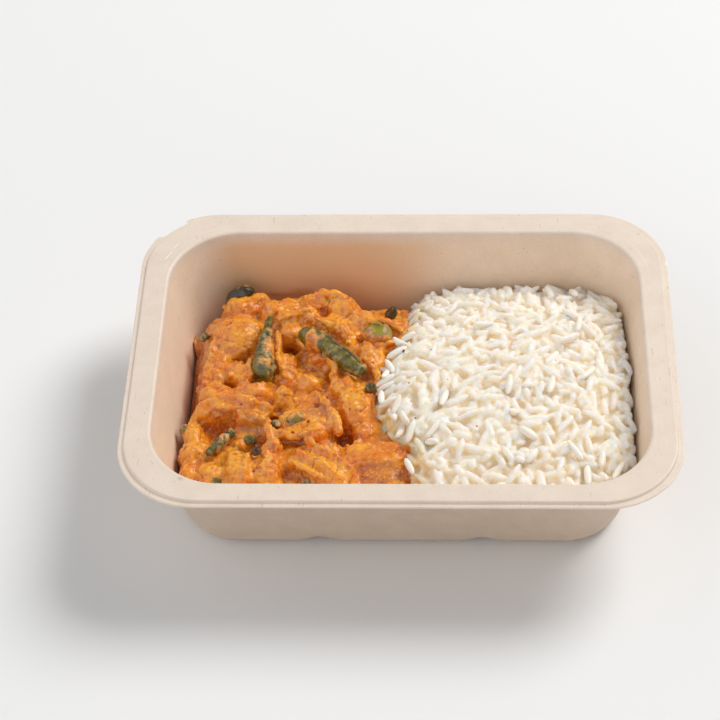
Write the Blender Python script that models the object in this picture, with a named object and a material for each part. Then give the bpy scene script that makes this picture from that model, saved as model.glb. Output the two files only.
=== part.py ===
"""Moulded fibre tray meal: chicken and green bean curry beside a mound of steamed rice.

The tray lies with its long side along X and its front edge towards -Y.
The origin is the middle of its base, on the surface that it stands on, and +Z is up.
"""

import math

import bmesh
import bpy
from mathutils import Matrix, Vector, noise

MM = 0.001

# Tray: driving sizes
TRAY_LENGTH = 215 * MM  # over the lip, along X
TRAY_WIDTH = 159 * MM  # over the lip, along Y
TRAY_HEIGHT = 48.5 * MM  # base to flange top
WALL = 1.1 * MM  # moulded fibre thickness
DRAFT = math.radians(12.5)  # lean of the side walls
RIM_INSET = 11.8 * MM  # lip edge to the inner wall, at flange height
LIP_RADIUS = 31 * MM  # plan radius of the corners: at the lip,
MOUTH_RADIUS = 28.2 * MM  # at the inner wall's top
BASE_RADIUS = 22 * MM  # and at the base
BEAD_RADIUS = 1.4 * MM  # rounding from the inner wall onto the flange
SHOULDER_RADIUS = 0.9 * MM  # rounding from the flange into its outer step
STEP_DROP = 1.9 * MM  # how far the lip's ledge lies below the flange
STEP_INSET = 2.3 * MM  # foot of the step
SHOULDER_INSET = 3.2 * MM  # top of the step
FOOT_FILLET = 6 * MM  # inner rounding between wall and floor
CORNER_STEPS = 6  # facets round each corner

# Two shallow channels pressed up into the base, running front to back
CHANNEL_CENTRE = 31.6 * MM
CHANNEL_HALF_WIDTH = 8.3 * MM
CHANNEL_DEPTH = 2.5 * MM
CHANNEL_FADE = 14 * MM  # height at which the walls no longer show them
CHANNEL_STEPS = 3  # facets on each side of a channel's middle

# Chip in the lip at the back left corner
CHIP_MIDDLE = math.radians(128)  # direction from the corner's own centre
CHIP_HALF_ANGLE = math.radians(17.5)
CHIP_DEPTH = 2.2 * MM

# Food
WALL_GAP = 0.5 * MM  # clearance of the food to the tray
FLOOR_GAP = 0.5 * MM
POCKET_GAP = 0.35 * MM  # clearance of the sauce round each piece
RICE_TOP = 36 * MM
SAUCE_TOP = 23 * MM
MOUND_WIDTH = 7 * MM  # reach of the sauce that holds each bean
CELL_ROWS = 16  # rows of a heap's top, front to back
PLAIN_COLUMNS = 3  # columns of a heap's top on each side of its base channel

FLOOR = WALL
CHANNEL_LEVELS = (0.7 * CHANNEL_FADE, CHANNEL_FADE)
OUTER_INSET = RIM_INSET - WALL / math.cos(DRAFT)


# ---------------------------------------------------------------- scene and materials

def clear_scene():
    for item in list(bpy.data.objects):
        bpy.data.objects.remove(item, do_unlink=True)


def make_material(name, colour, roughness):
    material = bpy.data.materials.new(name)
    material.use_nodes = True
    shader = material.node_tree.nodes["Principled BSDF"]
    shader.inputs["Base Color"].default_value = (*colour, 1.0)
    shader.inputs["Roughness"].default_value = roughness
    shader.inputs["Metallic"].default_value = 0.0
    material.diffuse_color = (*colour, 1.0)
    return material


def make_object(name, vertices, faces, material):
    mesh = bpy.data.meshes.new(name)
    mesh.from_pydata([tuple(v) for v in vertices], [], faces)
    mesh.materials.append(material)
    item = bpy.data.objects.new(name, mesh)
    bpy.context.scene.collection.objects.link(item)
    face_outwards(mesh)
    mesh.shade_smooth()
    mesh.set_sharp_from_angle(angle=math.radians(40))
    return item


def face_outwards(mesh):
    """Turns all faces outwards and splits them into triangles, which stay flat when cut."""
    work = bmesh.new()
    work.from_mesh(mesh)
    bmesh.ops.recalc_face_normals(work, faces=work.faces)
    bmesh.ops.triangulate(work, faces=work.faces)
    work.to_mesh(mesh)
    work.free()


def smoothstep(value):
    t = min(max(value, 0.0), 1.0)
    return t * t * (3 - 2 * t)


# ---------------------------------------------------------------- tray profile

def channel_lift(x, z):
    """How far the base channels raise a point of the tray or of the food on its floor."""
    reach = abs(abs(x) - CHANNEL_CENTRE) / CHANNEL_HALF_WIDTH
    if reach >= 1:
        return 0.0
    bump = 0.5 * CHANNEL_DEPTH * (1 + math.cos(math.pi * reach))
    return bump * (1 - smoothstep(z / CHANNEL_FADE))


def wall_line(z, rim_inset, floor, fillet):
    """Inset of a drafted wall at height z, with the rounding into its floor."""
    tangent_z = floor + fillet * (1 - math.sin(DRAFT))
    straight = rim_inset + (TRAY_HEIGHT - z) * math.tan(DRAFT)
    if z >= tangent_z:
        return straight, 0.0
    tangent_inset = rim_inset + (TRAY_HEIGHT - tangent_z) * math.tan(DRAFT)
    centre_inset = tangent_inset + fillet * math.cos(DRAFT)
    drop = min(floor + fillet - z, fillet)
    inset = centre_inset - math.sqrt(fillet * fillet - drop * drop)
    return inset, inset - straight


def wall_radius(z):
    """Plan radius of the corners of the inner wall."""
    return MOUTH_RADIUS + (BASE_RADIUS - MOUTH_RADIUS) * (TRAY_HEIGHT - z) / TRAY_HEIGHT


def inner_wall(z):
    inset, extra = wall_line(z, RIM_INSET, FLOOR, FOOT_FILLET)
    return inset, wall_radius(z) - extra


def outer_wall(z):
    inset, extra = wall_line(z, OUTER_INSET, 0.0, FOOT_FILLET + WALL)
    return inset, wall_radius(z) + WALL - extra


def rim_corner_radius(inset):
    return LIP_RADIUS + (MOUTH_RADIUS - LIP_RADIUS) * inset / RIM_INSET


def arc_points(centre, radius, start, end, steps):
    """Points (inset, z) of an arc; angles in degrees, 0 towards a larger inset, 90 up."""
    points = []
    for k in range(steps + 1):
        angle = math.radians(start + (end - start) * k / steps)
        points.append((centre[0] + radius * math.cos(angle), centre[1] + radius * math.sin(angle)))
    return points


def fillet_heights(floor, fillet, steps):
    """Heights down the rounding into a floor, ending on the floor."""
    top_angle = DRAFT
    heights = []
    for k in range(steps + 1):
        angle = top_angle + (math.pi / 2 - top_angle) * k / steps
        heights.append(floor + fillet * (1 - math.sin(angle)))
    return heights


def tray_section():
    """The tray's section from the inner floor over the rim to the base, as (inset, radius, z)."""
    section = []
    for z in reversed(fillet_heights(FLOOR, FOOT_FILLET, 3)):
        section.append((*inner_wall(z), z))
    for z in CHANNEL_LEVELS:
        section.append((*inner_wall(z), z))
    section += [(inset, rim_corner_radius(inset), z) for inset, z in rim_outline()]
    for z in reversed(CHANNEL_LEVELS):
        section.append((*outer_wall(z), z))
    for z in fillet_heights(0.0, FOOT_FILLET + WALL, 3):
        section.append((*outer_wall(z), z))
    return section


def rim_outline():
    """Bead, flange, outer step, lip ledge and their undersides, from inside to outside and back."""
    top = TRAY_HEIGHT
    ledge = top - STEP_DROP
    bead_centre = (RIM_INSET - BEAD_RADIUS * 0.8, top - BEAD_RADIUS)
    outline = arc_points(bead_centre, BEAD_RADIUS, 5, 90, 2)
    shoulder_centre = (SHOULDER_INSET + SHOULDER_RADIUS * 0.6, top - SHOULDER_RADIUS)
    outline += arc_points(shoulder_centre, SHOULDER_RADIUS, 90, 165, 2)
    outline += [(STEP_INSET, ledge), (0.3 * MM, ledge - 0.05 * MM)]
    outline += [(0.0, ledge - 0.35 * MM), (0.0, ledge - WALL)]
    outline += [(STEP_INSET + 0.6 * MM, ledge - WALL), (SHOULDER_INSET + WALL, top - 2 * WALL)]
    outline += [(SHOULDER_INSET + 2 * WALL, top - WALL), (OUTER_INSET - 1.5 * MM, top - WALL)]
    outline += [(OUTER_INSET + 0.7 * MM, top - WALL - 2 * MM)]
    return outline


# ---------------------------------------------------------------- tray rings

def channel_stations():
    """Places along X, on the right, where a base channel needs a vertex."""
    steps = range(-CHANNEL_STEPS, CHANNEL_STEPS + 1)
    return [CHANNEL_CENTRE + k * CHANNEL_HALF_WIDTH / CHANNEL_STEPS for k in steps]


def chip_inset(angle, inset):
    """Extra inset of the rim where the lip is chipped, by the direction from the corner's centre."""
    reach = abs(angle - CHIP_MIDDLE) / CHIP_HALF_ANGLE
    if reach >= 1 or inset >= CHIP_DEPTH + SHOULDER_INSET:
        return 0.0
    depth = CHIP_DEPTH * smoothstep((1 - reach) * 3)
    return depth * (1 - inset / (CHIP_DEPTH + SHOULDER_INSET))


def tray_ring(inset, radius, z):
    """One closed ring of the tray: the front edge from left to right, then the back edge."""
    half_length = TRAY_LENGTH / 2 - inset
    half_width = TRAY_WIDTH / 2 - inset
    centre_x = half_length - radius
    centre_y = half_width - radius
    corner = []
    for k in range(CORNER_STEPS + 1):
        angle = math.radians(90) * k / CORNER_STEPS
        corner.append((angle, centre_x + radius * math.cos(angle), centre_y + radius * math.sin(angle)))
    stations = channel_stations()
    stations = [-x for x in reversed(stations)] + stations
    front = [(-x, -y) for _, x, y in corner]
    front += [(x, -half_width) for x in stations]
    front += [(x, -y) for _, x, y in reversed(corner)]
    back = [(x, y) for _, x, y in corner]
    back += [(x, half_width) for x in reversed(stations)]
    for angle, x, y in reversed(corner):
        extra = chip_inset(math.pi - angle, inset) if z > CHANNEL_FADE else 0.0
        back.append((-x + extra * math.cos(angle), y - extra * math.sin(angle)))
    return [Vector((x, y, z + channel_lift(x, z))) for x, y in front + back]


def loft(rings):
    """Side faces between successive rings of equal length."""
    count = len(rings[0])
    faces = []
    for level in range(len(rings) - 1):
        low = level * count
        high = low + count
        for k in range(count):
            after = (k + 1) % count
            faces.append((low + k, low + after, high + after, high + k))
    return faces


def cap_columns(first, count):
    """Faces that close a ring of mirrored front and back points, one strip for each column."""
    half = count // 2
    faces = []
    for k in range(half - 1):
        faces.append((first + k, first + k + 1, first + count - 2 - k, first + count - 1 - k))
    return faces


def make_tray(material):
    rings = [tray_ring(*level) for level in tray_section()]
    count = len(rings[0])
    vertices = [point for ring in rings for point in ring]
    faces = loft(rings)
    faces += cap_columns(0, count)
    faces += cap_columns(len(vertices) - count, count)
    return make_object("fibre_tray", vertices, faces, material)


# ---------------------------------------------------------------- heaps of food

def divide_x(y):
    """Where the curry meets the rice: the curry's edge draws back in the middle of the tray."""
    return 3 * MM - 13.5 * MM * math.exp(-(((y + 2 * MM) / (27 * MM)) ** 2))


def rice_height(x, y):
    """Top of the rice: a broad mound, heaped against the right wall and the back right corner."""
    u = (x - 42 * MM) / (50 * MM)
    v = (y + 12 * MM) / (62 * MM)
    falling = (4 if u > 0 else 6) * u * u + (9.2 if v > 0 else 7) * v * v
    corner = 4 * max(u, 0) ** 2 * max(v, 0) ** 2
    bumps = 1.3 * noise.noise(Vector((x, y, 0)) / (7 * MM))
    return RICE_TOP - (falling - corner - bumps) * MM


def distance_to_segment(point, start, end):
    along = end - start
    share = min(max((point - start).dot(along) / along.length_squared, 0.0), 1.0)
    return (point - start - along * share).length, share


def bean_mound(x, y):
    """Height of the sauce that holds up the nearest bean, half as deep as the bean lies."""
    highest = 0.0
    here = Vector((x, y))
    for _, path, radii in BEANS:
        for k in range(len(path) - 1):
            start = Vector(path[k]) * MM
            end = Vector(path[k + 1]) * MM
            reach, share = distance_to_segment(here, start.xy, end.xy)
            axis = start.z + (end.z - start.z) * share
            crest = axis - 0.2 * radii[k] * MM
            slope = max(axis - SAUCE_TOP, 3 * MM)
            mound = crest - slope * (reach / MOUND_WIDTH) ** 2
            highest = max(highest, mound)
    return highest


def sauce_height(x, y):
    """Top of the sauce between the pieces: lower along the left wall and at the back."""
    at_left = smoothstep((-x - 74 * MM) / (14 * MM))
    at_back = smoothstep((y - 46 * MM) / (18 * MM))
    at_rice = smoothstep((x + 22 * MM) / (20 * MM))
    swell = 2.4 * noise.noise(Vector((x, y, 5 * MM)) / (11 * MM))
    ripple = 1.0 * noise.noise(Vector((x, y, 9 * MM)) / (5 * MM))
    level = SAUCE_TOP + (swell + ripple + 3.5 * at_rice - 6 * at_left - 2 * at_back) * MM
    return max(level, bean_mound(x, y))


class Heap:
    """A filling that reaches from the divide to the tray's wall on one side of the tray."""

    def __init__(self, side, height):
        self.side = side
        self.height = height
        self.straight = 2 * (PLAIN_COLUMNS + CHANNEL_STEPS)
        self.columns = self.straight + CORNER_STEPS

    def place(self, column, row, z):
        """Plan position of a grid point at height z, inside the tray's wall."""
        inset, radius = inner_wall(z)
        half_length = TRAY_LENGTH / 2 - inset - WALL_GAP
        half_width = TRAY_WIDTH / 2 - inset - WALL_GAP
        near = self.side * divide_x(half_width) + WALL_GAP / 2
        straight_end = half_length - radius
        if column <= self.straight:
            along = self.straight_place(column, near, straight_end)
            limit = half_width
        else:
            angle = math.radians(90) * (column - self.straight) / CORNER_STEPS
            along = straight_end + radius * math.sin(angle)
            limit = half_width - radius * (1 - math.cos(angle))
        y = limit * (2 * row / CELL_ROWS - 1)
        share = (half_length - along) / (half_length - near)
        bend = self.side * (divide_x(y) - divide_x(half_width))
        return self.side * (along + bend * share), y

    def straight_place(self, column, near, far):
        """Columns between the divide and the corner, with those of the base channel among them."""
        stations = channel_stations()
        if column < PLAIN_COLUMNS:
            return near + (stations[0] - near) * column / PLAIN_COLUMNS
        if column < PLAIN_COLUMNS + len(stations):
            return stations[column - PLAIN_COLUMNS]
        share = (column - PLAIN_COLUMNS - len(stations) + 1) / PLAIN_COLUMNS
        return stations[-1] + (far - stations[-1]) * share

    def point(self, column, row, z):
        x, y = self.place(column, row, z)
        return Vector((x, y, z + channel_lift(x, z)))

    def top_height(self, column, row):
        x, y = self.place(column, row, SAUCE_TOP)
        return self.height(x, y)

    def rim(self):
        """Grid points round the edge: front, wall side, back, then along the divide."""
        last = self.columns
        front = [(c, 0) for c in range(last)]
        wall = [(last, r) for r in range(CELL_ROWS)]
        back = [(c, CELL_ROWS) for c in range(last, 0, -1)]
        divide = [(0, r) for r in range(CELL_ROWS, 0, -1)]
        return front + wall + back + divide

    def build(self, name, material):
        vertices = []
        index = {}
        for column in range(self.columns + 1):
            for row in range(CELL_ROWS + 1):
                index[column, row] = len(vertices)
                vertices.append(self.point(column, row, self.top_height(column, row)))
        faces = []
        for column in range(self.columns):
            for row in range(CELL_ROWS):
                faces.append((index[column, row], index[column + 1, row],
                              index[column + 1, row + 1], index[column, row + 1]))
        rim = self.rim()
        upper = [index[cell] for cell in rim]
        base = FLOOR + FLOOR_GAP
        for z in (FLOOR + FOOT_FILLET, FLOOR + FOOT_FILLET * 0.35, base):
            lower = list(range(len(vertices), len(vertices) + len(rim)))
            vertices += [self.point(*cell, z) for cell in rim]
            for k in range(len(rim)):
                after = (k + 1) % len(rim)
                faces.append((upper[k], upper[after], lower[after], lower[k]))
            upper = lower
        faces += self.base_strips(dict(zip(rim, upper)))
        return make_object(name, vertices, faces, material)

    def base_strips(self, vertex_at):
        """The underside: plain strips between the columns, and fans at the divide and the wall."""
        last = self.columns
        faces = []
        for column in range(2, last - 1):
            faces.append((vertex_at[column, 0], vertex_at[column, CELL_ROWS],
                          vertex_at[column + 1, CELL_ROWS], vertex_at[column + 1, 0]))
        for end, beside in ((0, 1), (CELL_ROWS, CELL_ROWS - 1)):
            faces.append((vertex_at[1, end], vertex_at[0, end], vertex_at[0, beside]))
            faces.append((vertex_at[2, end], vertex_at[1, end], vertex_at[0, beside]))
        divide = [vertex_at[0, row] for row in range(1, CELL_ROWS)]
        wall = [vertex_at[last, row] for row in range(CELL_ROWS + 1)]
        faces += fan((vertex_at[2, 0], vertex_at[2, CELL_ROWS]), divide)
        faces += fan((vertex_at[last - 1, 0], vertex_at[last - 1, CELL_ROWS]), wall)
        return faces


def fan(ends, line):
    """Triangles between two end points and a line of points that runs from the first to the second."""
    middle = len(line) // 2
    faces = [(ends[0], line[k], line[k + 1]) for k in range(middle)]
    faces.append((ends[0], line[middle], ends[1]))
    faces += [(ends[1], line[k], line[k + 1]) for k in range(middle, len(line) - 1)]
    return faces


# ---------------------------------------------------------------- pieces in the curry

def make_chunk(name, centre, radii, turn, material):
    """A lump of chicken: a ball drawn out to three radii, turned and made uneven."""
    work = bmesh.new()
    bmesh.ops.create_uvsphere(work, u_segments=10, v_segments=7, radius=1.0)
    middle = Vector(centre) * MM
    spin = Matrix.Rotation(math.radians(turn), 3, "Z")
    for vertex in work.verts:
        direction = vertex.co.copy()
        uneven = 1 + 0.13 * noise.noise(direction * 1.6 + middle * 300)
        stretched = Vector([direction[k] * radii[k] * MM * uneven for k in range(3)])
        vertex.co = middle + spin @ stretched
    vertices = [vertex.co.copy() for vertex in work.verts]
    faces = [[vertex.index for vertex in face.verts] for face in work.faces]
    work.free()
    return make_object(name, vertices, faces, material)


def make_bean(name, path, radii, material, sides=7, rounds=2):
    """A cut length of green bean: a bent tube through the path's points with rounded ends."""
    points = [Vector(point) * MM for point in path]
    rings = []
    first = (points[1] - points[0]).normalized()
    last = (points[-1] - points[-2]).normalized()
    for k in range(rounds, 0, -1):
        angle = math.radians(80) * k / rounds
        radius = radii[0] * MM
        rings.append((points[0] - first * radius * math.sin(angle) * 0.7, first, radius * math.cos(angle)))
    for k, point in enumerate(points):
        before = points[max(k - 1, 0)]
        after = points[min(k + 1, len(points) - 1)]
        rings.append((point, (after - before).normalized(), radii[k] * MM))
    for k in range(1, rounds + 1):
        angle = math.radians(80) * k / rounds
        radius = radii[-1] * MM
        rings.append((points[-1] + last * radius * math.sin(angle) * 0.7, last, radius * math.cos(angle)))
    vertices = []
    for centre, direction, radius in rings:
        across = direction.cross(Vector((0, 0, 1))).normalized()
        upward = across.cross(direction)
        for k in range(sides):
            angle = 2 * math.pi * k / sides
            vertices.append(centre + (across * math.cos(angle) + upward * math.sin(angle)) * radius)
    faces = [tuple(range(sides)), tuple(range(len(vertices) - sides, len(vertices)))]
    for level in range(len(rings) - 1):
        for k in range(sides):
            after = (k + 1) % sides
            low = level * sides
            faces.append((low + k, low + after, low + sides + after, low + sides + k))
    return make_object(name, vertices, faces, material)


# Chicken: name, middle and three radii in millimetres, turn about Z in degrees
CHICKEN = (
    ("chicken_back_left", (-69, 37.5, 22.5), (12.5, 13.5, 10.5), 10),
    ("chicken_left", (-77, 9, 20.5), (8.5, 13, 9.5), -8),
    ("chicken_arch", (-72, -14.5, 21.5), (12, 8.5, 10.5), 20),
    ("chicken_middle", (-50.5, -5, 21), (9, 9, 10), 15),
    ("chicken_under_bean", (-31, 0, 20.5), (9.5, 9.5, 9.5), -20),
    ("chicken_back", (-37, 50, 20), (13, 8.5, 9.5), -6),
    ("chicken_back_right", (-14, 43, 19.5), (8, 8, 9.5), 0),
    ("chicken_front_ridge", (-30.5, -39, 22), (16.5, 6.5, 11), -38),
    ("chicken_front_flat", (-9, -37, 21), (8.7, 9, 8.7), 10),
    ("chicken_front_left", (-61, -45, 21.5), (6.5, 12, 9.5), 15),
    ("chicken_front_middle", (-46.5, -44, 21), (6.2, 10.5, 10.5), 12),
    ("chicken_left_front", (-79, -41, 19.5), (7.5, 9.5, 9), 14),
)

# Green beans: name, path points and radii in millimetres
BEANS = (
    ("bean_long", ((-41, 24.5, 31), (-34, 22, 32.5), (-25, 16, 32), (-16, 8, 29.5)), (3.4, 4, 3.8, 2.8)),
    ("bean_upright", ((-54.8, 35, 31.5), (-56.2, 27, 32), (-56.5, 17, 31.5), (-55.5, 8, 30)), (1.4, 2.6, 3.8, 3.2)),
    ("bean_pod", ((-17, 29.5, 28.5), (-11, 29.5, 30), (-5, 30.5, 29)), (2.8, 4.2, 2.4)),
    ("bean_stub_back", ((-73.5, 55, 25), (-69, 55.5, 27.5), (-64.5, 56.5, 26)), (3, 3.8, 2.6)),
    ("bean_tip_back", ((-3.6, 45.5, 22), (-3.2, 44.5, 25), (-2.4, 43, 28)), (2.0, 2.0, 1.5)),
    ("bean_bit_right", ((-13.5, -1, 26), (-12.5, 2.5, 27.5)), (1.8, 1.8)),
    ("bean_end_middle", ((-49.8, -18, 27.5), (-48.6, -18.3, 30)), (2.2, 1.8)),
    ("bean_cut_middle", ((-44, -17.5, 28), (-40, -17.5, 29), (-36.5, -18, 28)), (2.6, 3, 2.4)),
    ("bean_strip_left", ((-77, -33.2, 28), (-72.5, -27.5, 29), (-67, -25, 29.5)), (1.8, 2.3, 2)),
    ("bean_dark_left", ((-61, -27.5, 28), (-56.5, -29, 28.5)), (2.3, 2.2)),
    ("bean_sliver_front", ((-38.5, -54, 25.5), (-34, -54.3, 25.8)), (1.8, 1.6)),
    ("bean_sliver_left", ((-73, -50.5, 24.5), (-69.5, -52.5, 25)), (1.6, 1.6)),
    ("bean_edge_left", ((-85.5, -18, 22), (-84.5, -20.5, 24.5)), (2, 2)),
    ("spice_bean", ((-57.5, -35, 30.6), (-56, -35.2, 30.8)), (1.9, 1.8)),
)


def grown_copy(item, gap):
    """A copy of a piece, larger by a gap all round, that cuts its pocket in the sauce."""
    mesh = item.data.copy()
    normals = [vertex.normal.copy() for vertex in mesh.vertices]
    for vertex, normal in zip(mesh.vertices, normals):
        vertex.co += normal * gap
    cutter = bpy.data.objects.new(item.name + "_pocket", mesh)
    cutter.hide_render = True
    cutter.display_type = "WIRE"
    bpy.context.scene.collection.objects.link(cutter)
    return cutter


def cut_pockets(heap, pieces):
    for piece in pieces:
        modifier = heap.modifiers.new("pocket_" + piece.name, "BOOLEAN")
        modifier.operation = "DIFFERENCE"
        modifier.object = grown_copy(piece, POCKET_GAP)


def main():
    clear_scene()
    fibre = make_material("fibre_beige", (0.80, 0.70, 0.60), 0.6)
    rice_white = make_material("rice_white", (0.88, 0.86, 0.80), 0.45)
    sauce_orange = make_material("sauce_orange", (0.72, 0.27, 0.05), 0.3)
    chicken_orange = make_material("chicken_orange", (0.68, 0.31, 0.10), 0.35)
    bean_green = make_material("bean_green", (0.16, 0.19, 0.05), 0.3)
    make_tray(fibre)
    Heap(1, rice_height).build("steamed_rice", rice_white)
    sauce = Heap(-1, sauce_height).build("curry_sauce", sauce_orange)
    pieces = [make_chunk(*row, chicken_orange) for row in CHICKEN]
    pieces += [make_bean(*row, bean_green) for row in BEANS]
    cut_pockets(sauce, pieces)


main()
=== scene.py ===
# %% [markdown]
# # A takeaway tray of chicken curry and rice
# A moulded fibre tray holds two foods side by side: chicken and green beans in a thick orange
# sauce, and steamed long grain rice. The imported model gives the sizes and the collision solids.
# Here each solid gets its real surface: a finely moulded rim, wet lumpy sauce, beans with skins,
# and rice made of single grains. Lengths are worked out in millimetres, as a cook or a mould
# maker would give them, and turned into metres where a mesh is made.

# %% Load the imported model
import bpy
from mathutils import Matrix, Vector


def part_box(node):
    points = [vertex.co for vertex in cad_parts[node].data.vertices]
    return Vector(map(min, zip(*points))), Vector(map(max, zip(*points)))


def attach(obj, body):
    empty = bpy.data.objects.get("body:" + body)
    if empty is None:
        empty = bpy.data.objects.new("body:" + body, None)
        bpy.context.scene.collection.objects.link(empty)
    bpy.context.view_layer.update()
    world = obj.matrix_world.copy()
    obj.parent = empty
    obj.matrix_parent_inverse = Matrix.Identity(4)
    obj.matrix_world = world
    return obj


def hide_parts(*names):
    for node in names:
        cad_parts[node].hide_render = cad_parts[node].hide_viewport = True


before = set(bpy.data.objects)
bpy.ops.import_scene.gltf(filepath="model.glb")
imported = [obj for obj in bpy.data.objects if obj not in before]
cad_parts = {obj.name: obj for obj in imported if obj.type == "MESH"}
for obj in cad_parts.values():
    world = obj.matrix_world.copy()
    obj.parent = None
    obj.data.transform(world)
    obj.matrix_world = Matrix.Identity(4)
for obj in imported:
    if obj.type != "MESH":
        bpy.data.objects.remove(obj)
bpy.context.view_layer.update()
print("packed pieces:", len(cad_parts))

# %% Tools that every step uses
import math

import bmesh
import bpy
import numpy as np
from mathutils import Matrix, Vector, noise
from mathutils.bvhtree import BVHTree

MM = 0.001  # one millimetre in metres
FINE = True


def in_millimetres(corner):
    return np.array(corner) / MM


def smoothstep(share):
    """An even start and stop between 0 and 1."""
    t = np.clip(share, 0.0, 1.0)
    return t * t * (3 - 2 * t)


def noise_at(points, size, shift=0.0):
    """Smooth noise between about -1 and 1 at each point, for lumps of the given size."""
    scaled = np.asarray(points, float) / size + shift
    return np.array([noise.noise(Vector(point)) for point in scaled])


# %% [markdown]
# ## Camera
# The tray is seen from above its front edge, a little over half way up to straight down, through
# a long lens, so that its back is hardly narrower than its front. The camera stands slightly to
# the right, turned back to the left and rolled by two degrees. Yaw, pitch and roll are three
# turns in that order, which is easier to read and to change than a matrix.

# %% Set up the camera
CAMERA_PLACE = (18.8, -613.2, 689.5)
CAMERA_YAW = 3.29  # degrees to the left
CAMERA_PITCH = 46.43  # degrees down
CAMERA_ROLL = -2.33


def add_camera():
    lens = bpy.data.cameras.new("camera")
    lens.sensor_width = 36.0
    lens.lens = 112.8
    lens.clip_start = 0.01
    camera = bpy.data.objects.new("camera", lens)
    yaw = Matrix.Rotation(math.radians(CAMERA_YAW), 4, "Z")
    pitch = Matrix.Rotation(math.radians(90 - CAMERA_PITCH), 4, "X")
    roll = Matrix.Rotation(math.radians(CAMERA_ROLL), 4, "Z")
    place = Matrix.Translation(Vector(CAMERA_PLACE) * MM)
    camera.matrix_world = place @ yaw @ pitch @ roll
    bpy.context.scene.collection.objects.link(camera)
    bpy.context.scene.camera = camera
    return camera


camera = add_camera()
print("camera height:", round(camera.matrix_world.translation.z, 3), "m")

# %% [markdown]
# ## Light and floor
# One large soft lamp stands behind and to the right of the tray, about half way up, so shadows
# fall to the front left and their edges are wide. A real softbox is brighter in its middle, so a
# second, smaller lamp sits there: it makes the many small, sharp highlights in the wet sauce. The
# rest is white light from all round, as in a white studio. It is
# weaker above and behind the lamp, where the studio is open, so the wet sauce mirrors the lamp
# more than the walls. The floor is one plain pale sheet.

# %% Light the scene
LAMP_AZIMUTH = 39  # degrees from +X towards +Y
LAMP_HEIGHT = 45  # degrees above the floor
LAMP_DISTANCE = 4.4
SOFTBOX = {"size": 3.4, "power": 24}  # metres across, watts
HOT_MIDDLE = {"size": 2.1, "power": 130}
SKY_BRIGHT, SKY_DIM = 1.03, 0.22
DIM_SIDE = (0.68, 0.38, 0.63)  # up and to the lamp's side, where the walls are further off


def add_lamp(name, size, power):
    light = bpy.data.lights.new(name, "AREA")
    light.shape = "DISK"
    light.size = size
    light.energy = power
    light.color = (1.0, 0.99, 0.972)
    lamp = bpy.data.objects.new(name, light)
    around = math.radians(LAMP_AZIMUTH)
    up = math.radians(LAMP_HEIGHT)
    aim = Vector((math.cos(around) * math.cos(up), math.sin(around) * math.cos(up), math.sin(up)))
    lamp.location = aim * LAMP_DISTANCE
    lamp.rotation_euler = aim.to_track_quat("Z", "Y").to_euler()
    bpy.context.scene.collection.objects.link(lamp)
    return lamp


def add_sky():
    world = bpy.data.worlds.new("white_studio")
    bpy.context.scene.world = world
    world.use_nodes = True
    background = world.node_tree.nodes["Background"]
    background.inputs["Color"].default_value = (0.985, 0.99, 1.0, 1.0)
    nodes, links = world.node_tree.nodes, world.node_tree.links
    facing = nodes.new("ShaderNodeVectorMath")
    facing.operation = "DOT_PRODUCT"
    facing.inputs[1].default_value = DIM_SIDE
    links.new(nodes.new("ShaderNodeTexCoord").outputs["Generated"], facing.inputs[0])
    strength = nodes.new("ShaderNodeMapRange")
    strength.inputs["From Min"].default_value = -0.35
    strength.inputs["From Max"].default_value = 0.75
    strength.inputs["To Min"].default_value = SKY_BRIGHT
    strength.inputs["To Max"].default_value = SKY_DIM
    links.new(facing.outputs["Value"], strength.inputs["Value"])
    links.new(strength.outputs["Result"], background.inputs["Strength"])


def add_floor():
    half = 1.6
    mesh = bpy.data.meshes.new("floor")
    mesh.from_pydata([(-half, -half, 0), (half, -half, 0), (half, half, 0), (-half, half, 0)],
                     [], [(0, 1, 2, 3)])
    floor = bpy.data.objects.new("floor", mesh)
    bpy.context.scene.collection.objects.link(floor)
    paper = bpy.data.materials.new("floor_paper")
    paper.use_nodes = True
    shader = paper.node_tree.nodes["Principled BSDF"]
    shader.inputs["Base Color"].default_value = (0.88, 0.88, 0.88, 1.0)
    shader.inputs["Roughness"].default_value = 0.9
    mesh.materials.append(paper)
    return floor


bpy.context.scene.view_settings.view_transform = "Standard"
lamp = add_lamp("softbox", **SOFTBOX)
add_lamp("hot_middle", **HOT_MIDDLE)
add_sky()
floor = add_floor()
print("lamp at", [round(value, 2) for value in lamp.location])

# %% [markdown]
# ## Two helpers for finishes
# A finish is a Principled shader fed by small procedural patterns: noise for mottling, waves for
# a weave, attributes for what the modelling already knows. Node trees are long to write out one
# by one, so one helper makes a material and the other adds a node and joins its inputs.

# %% Helpers for materials
def new_finish(name, roughness, **constants):
    """A Principled material with plain values set on the shader's own sockets."""
    finish = bpy.data.materials.new(name)
    finish.use_nodes = True
    shader = finish.node_tree.nodes["Principled BSDF"]
    shader.inputs["Roughness"].default_value = roughness
    for socket, value in constants.items():
        shader.inputs[socket.replace("_", " ")].default_value = value
    return finish, shader


def add_node(finish, kind, inputs=None, **settings):
    """Adds a shader node; inputs are values, or sockets of other nodes to join."""
    node = finish.node_tree.nodes.new("ShaderNode" + kind)
    for setting, value in settings.items():
        setattr(node, setting, value)
    for socket, value in (inputs or {}).items():
        if isinstance(value, bpy.types.NodeSocket):
            finish.node_tree.links.new(value, node.inputs[socket])
        else:
            node.inputs[socket].default_value = value
    return node


def join_to(finish, source, target):
    finish.node_tree.links.new(source, target)


def place_in_piece(finish):
    """The point on the piece in metres, as it was modelled."""
    return add_node(finish, "TexCoord").outputs["Object"]


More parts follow.
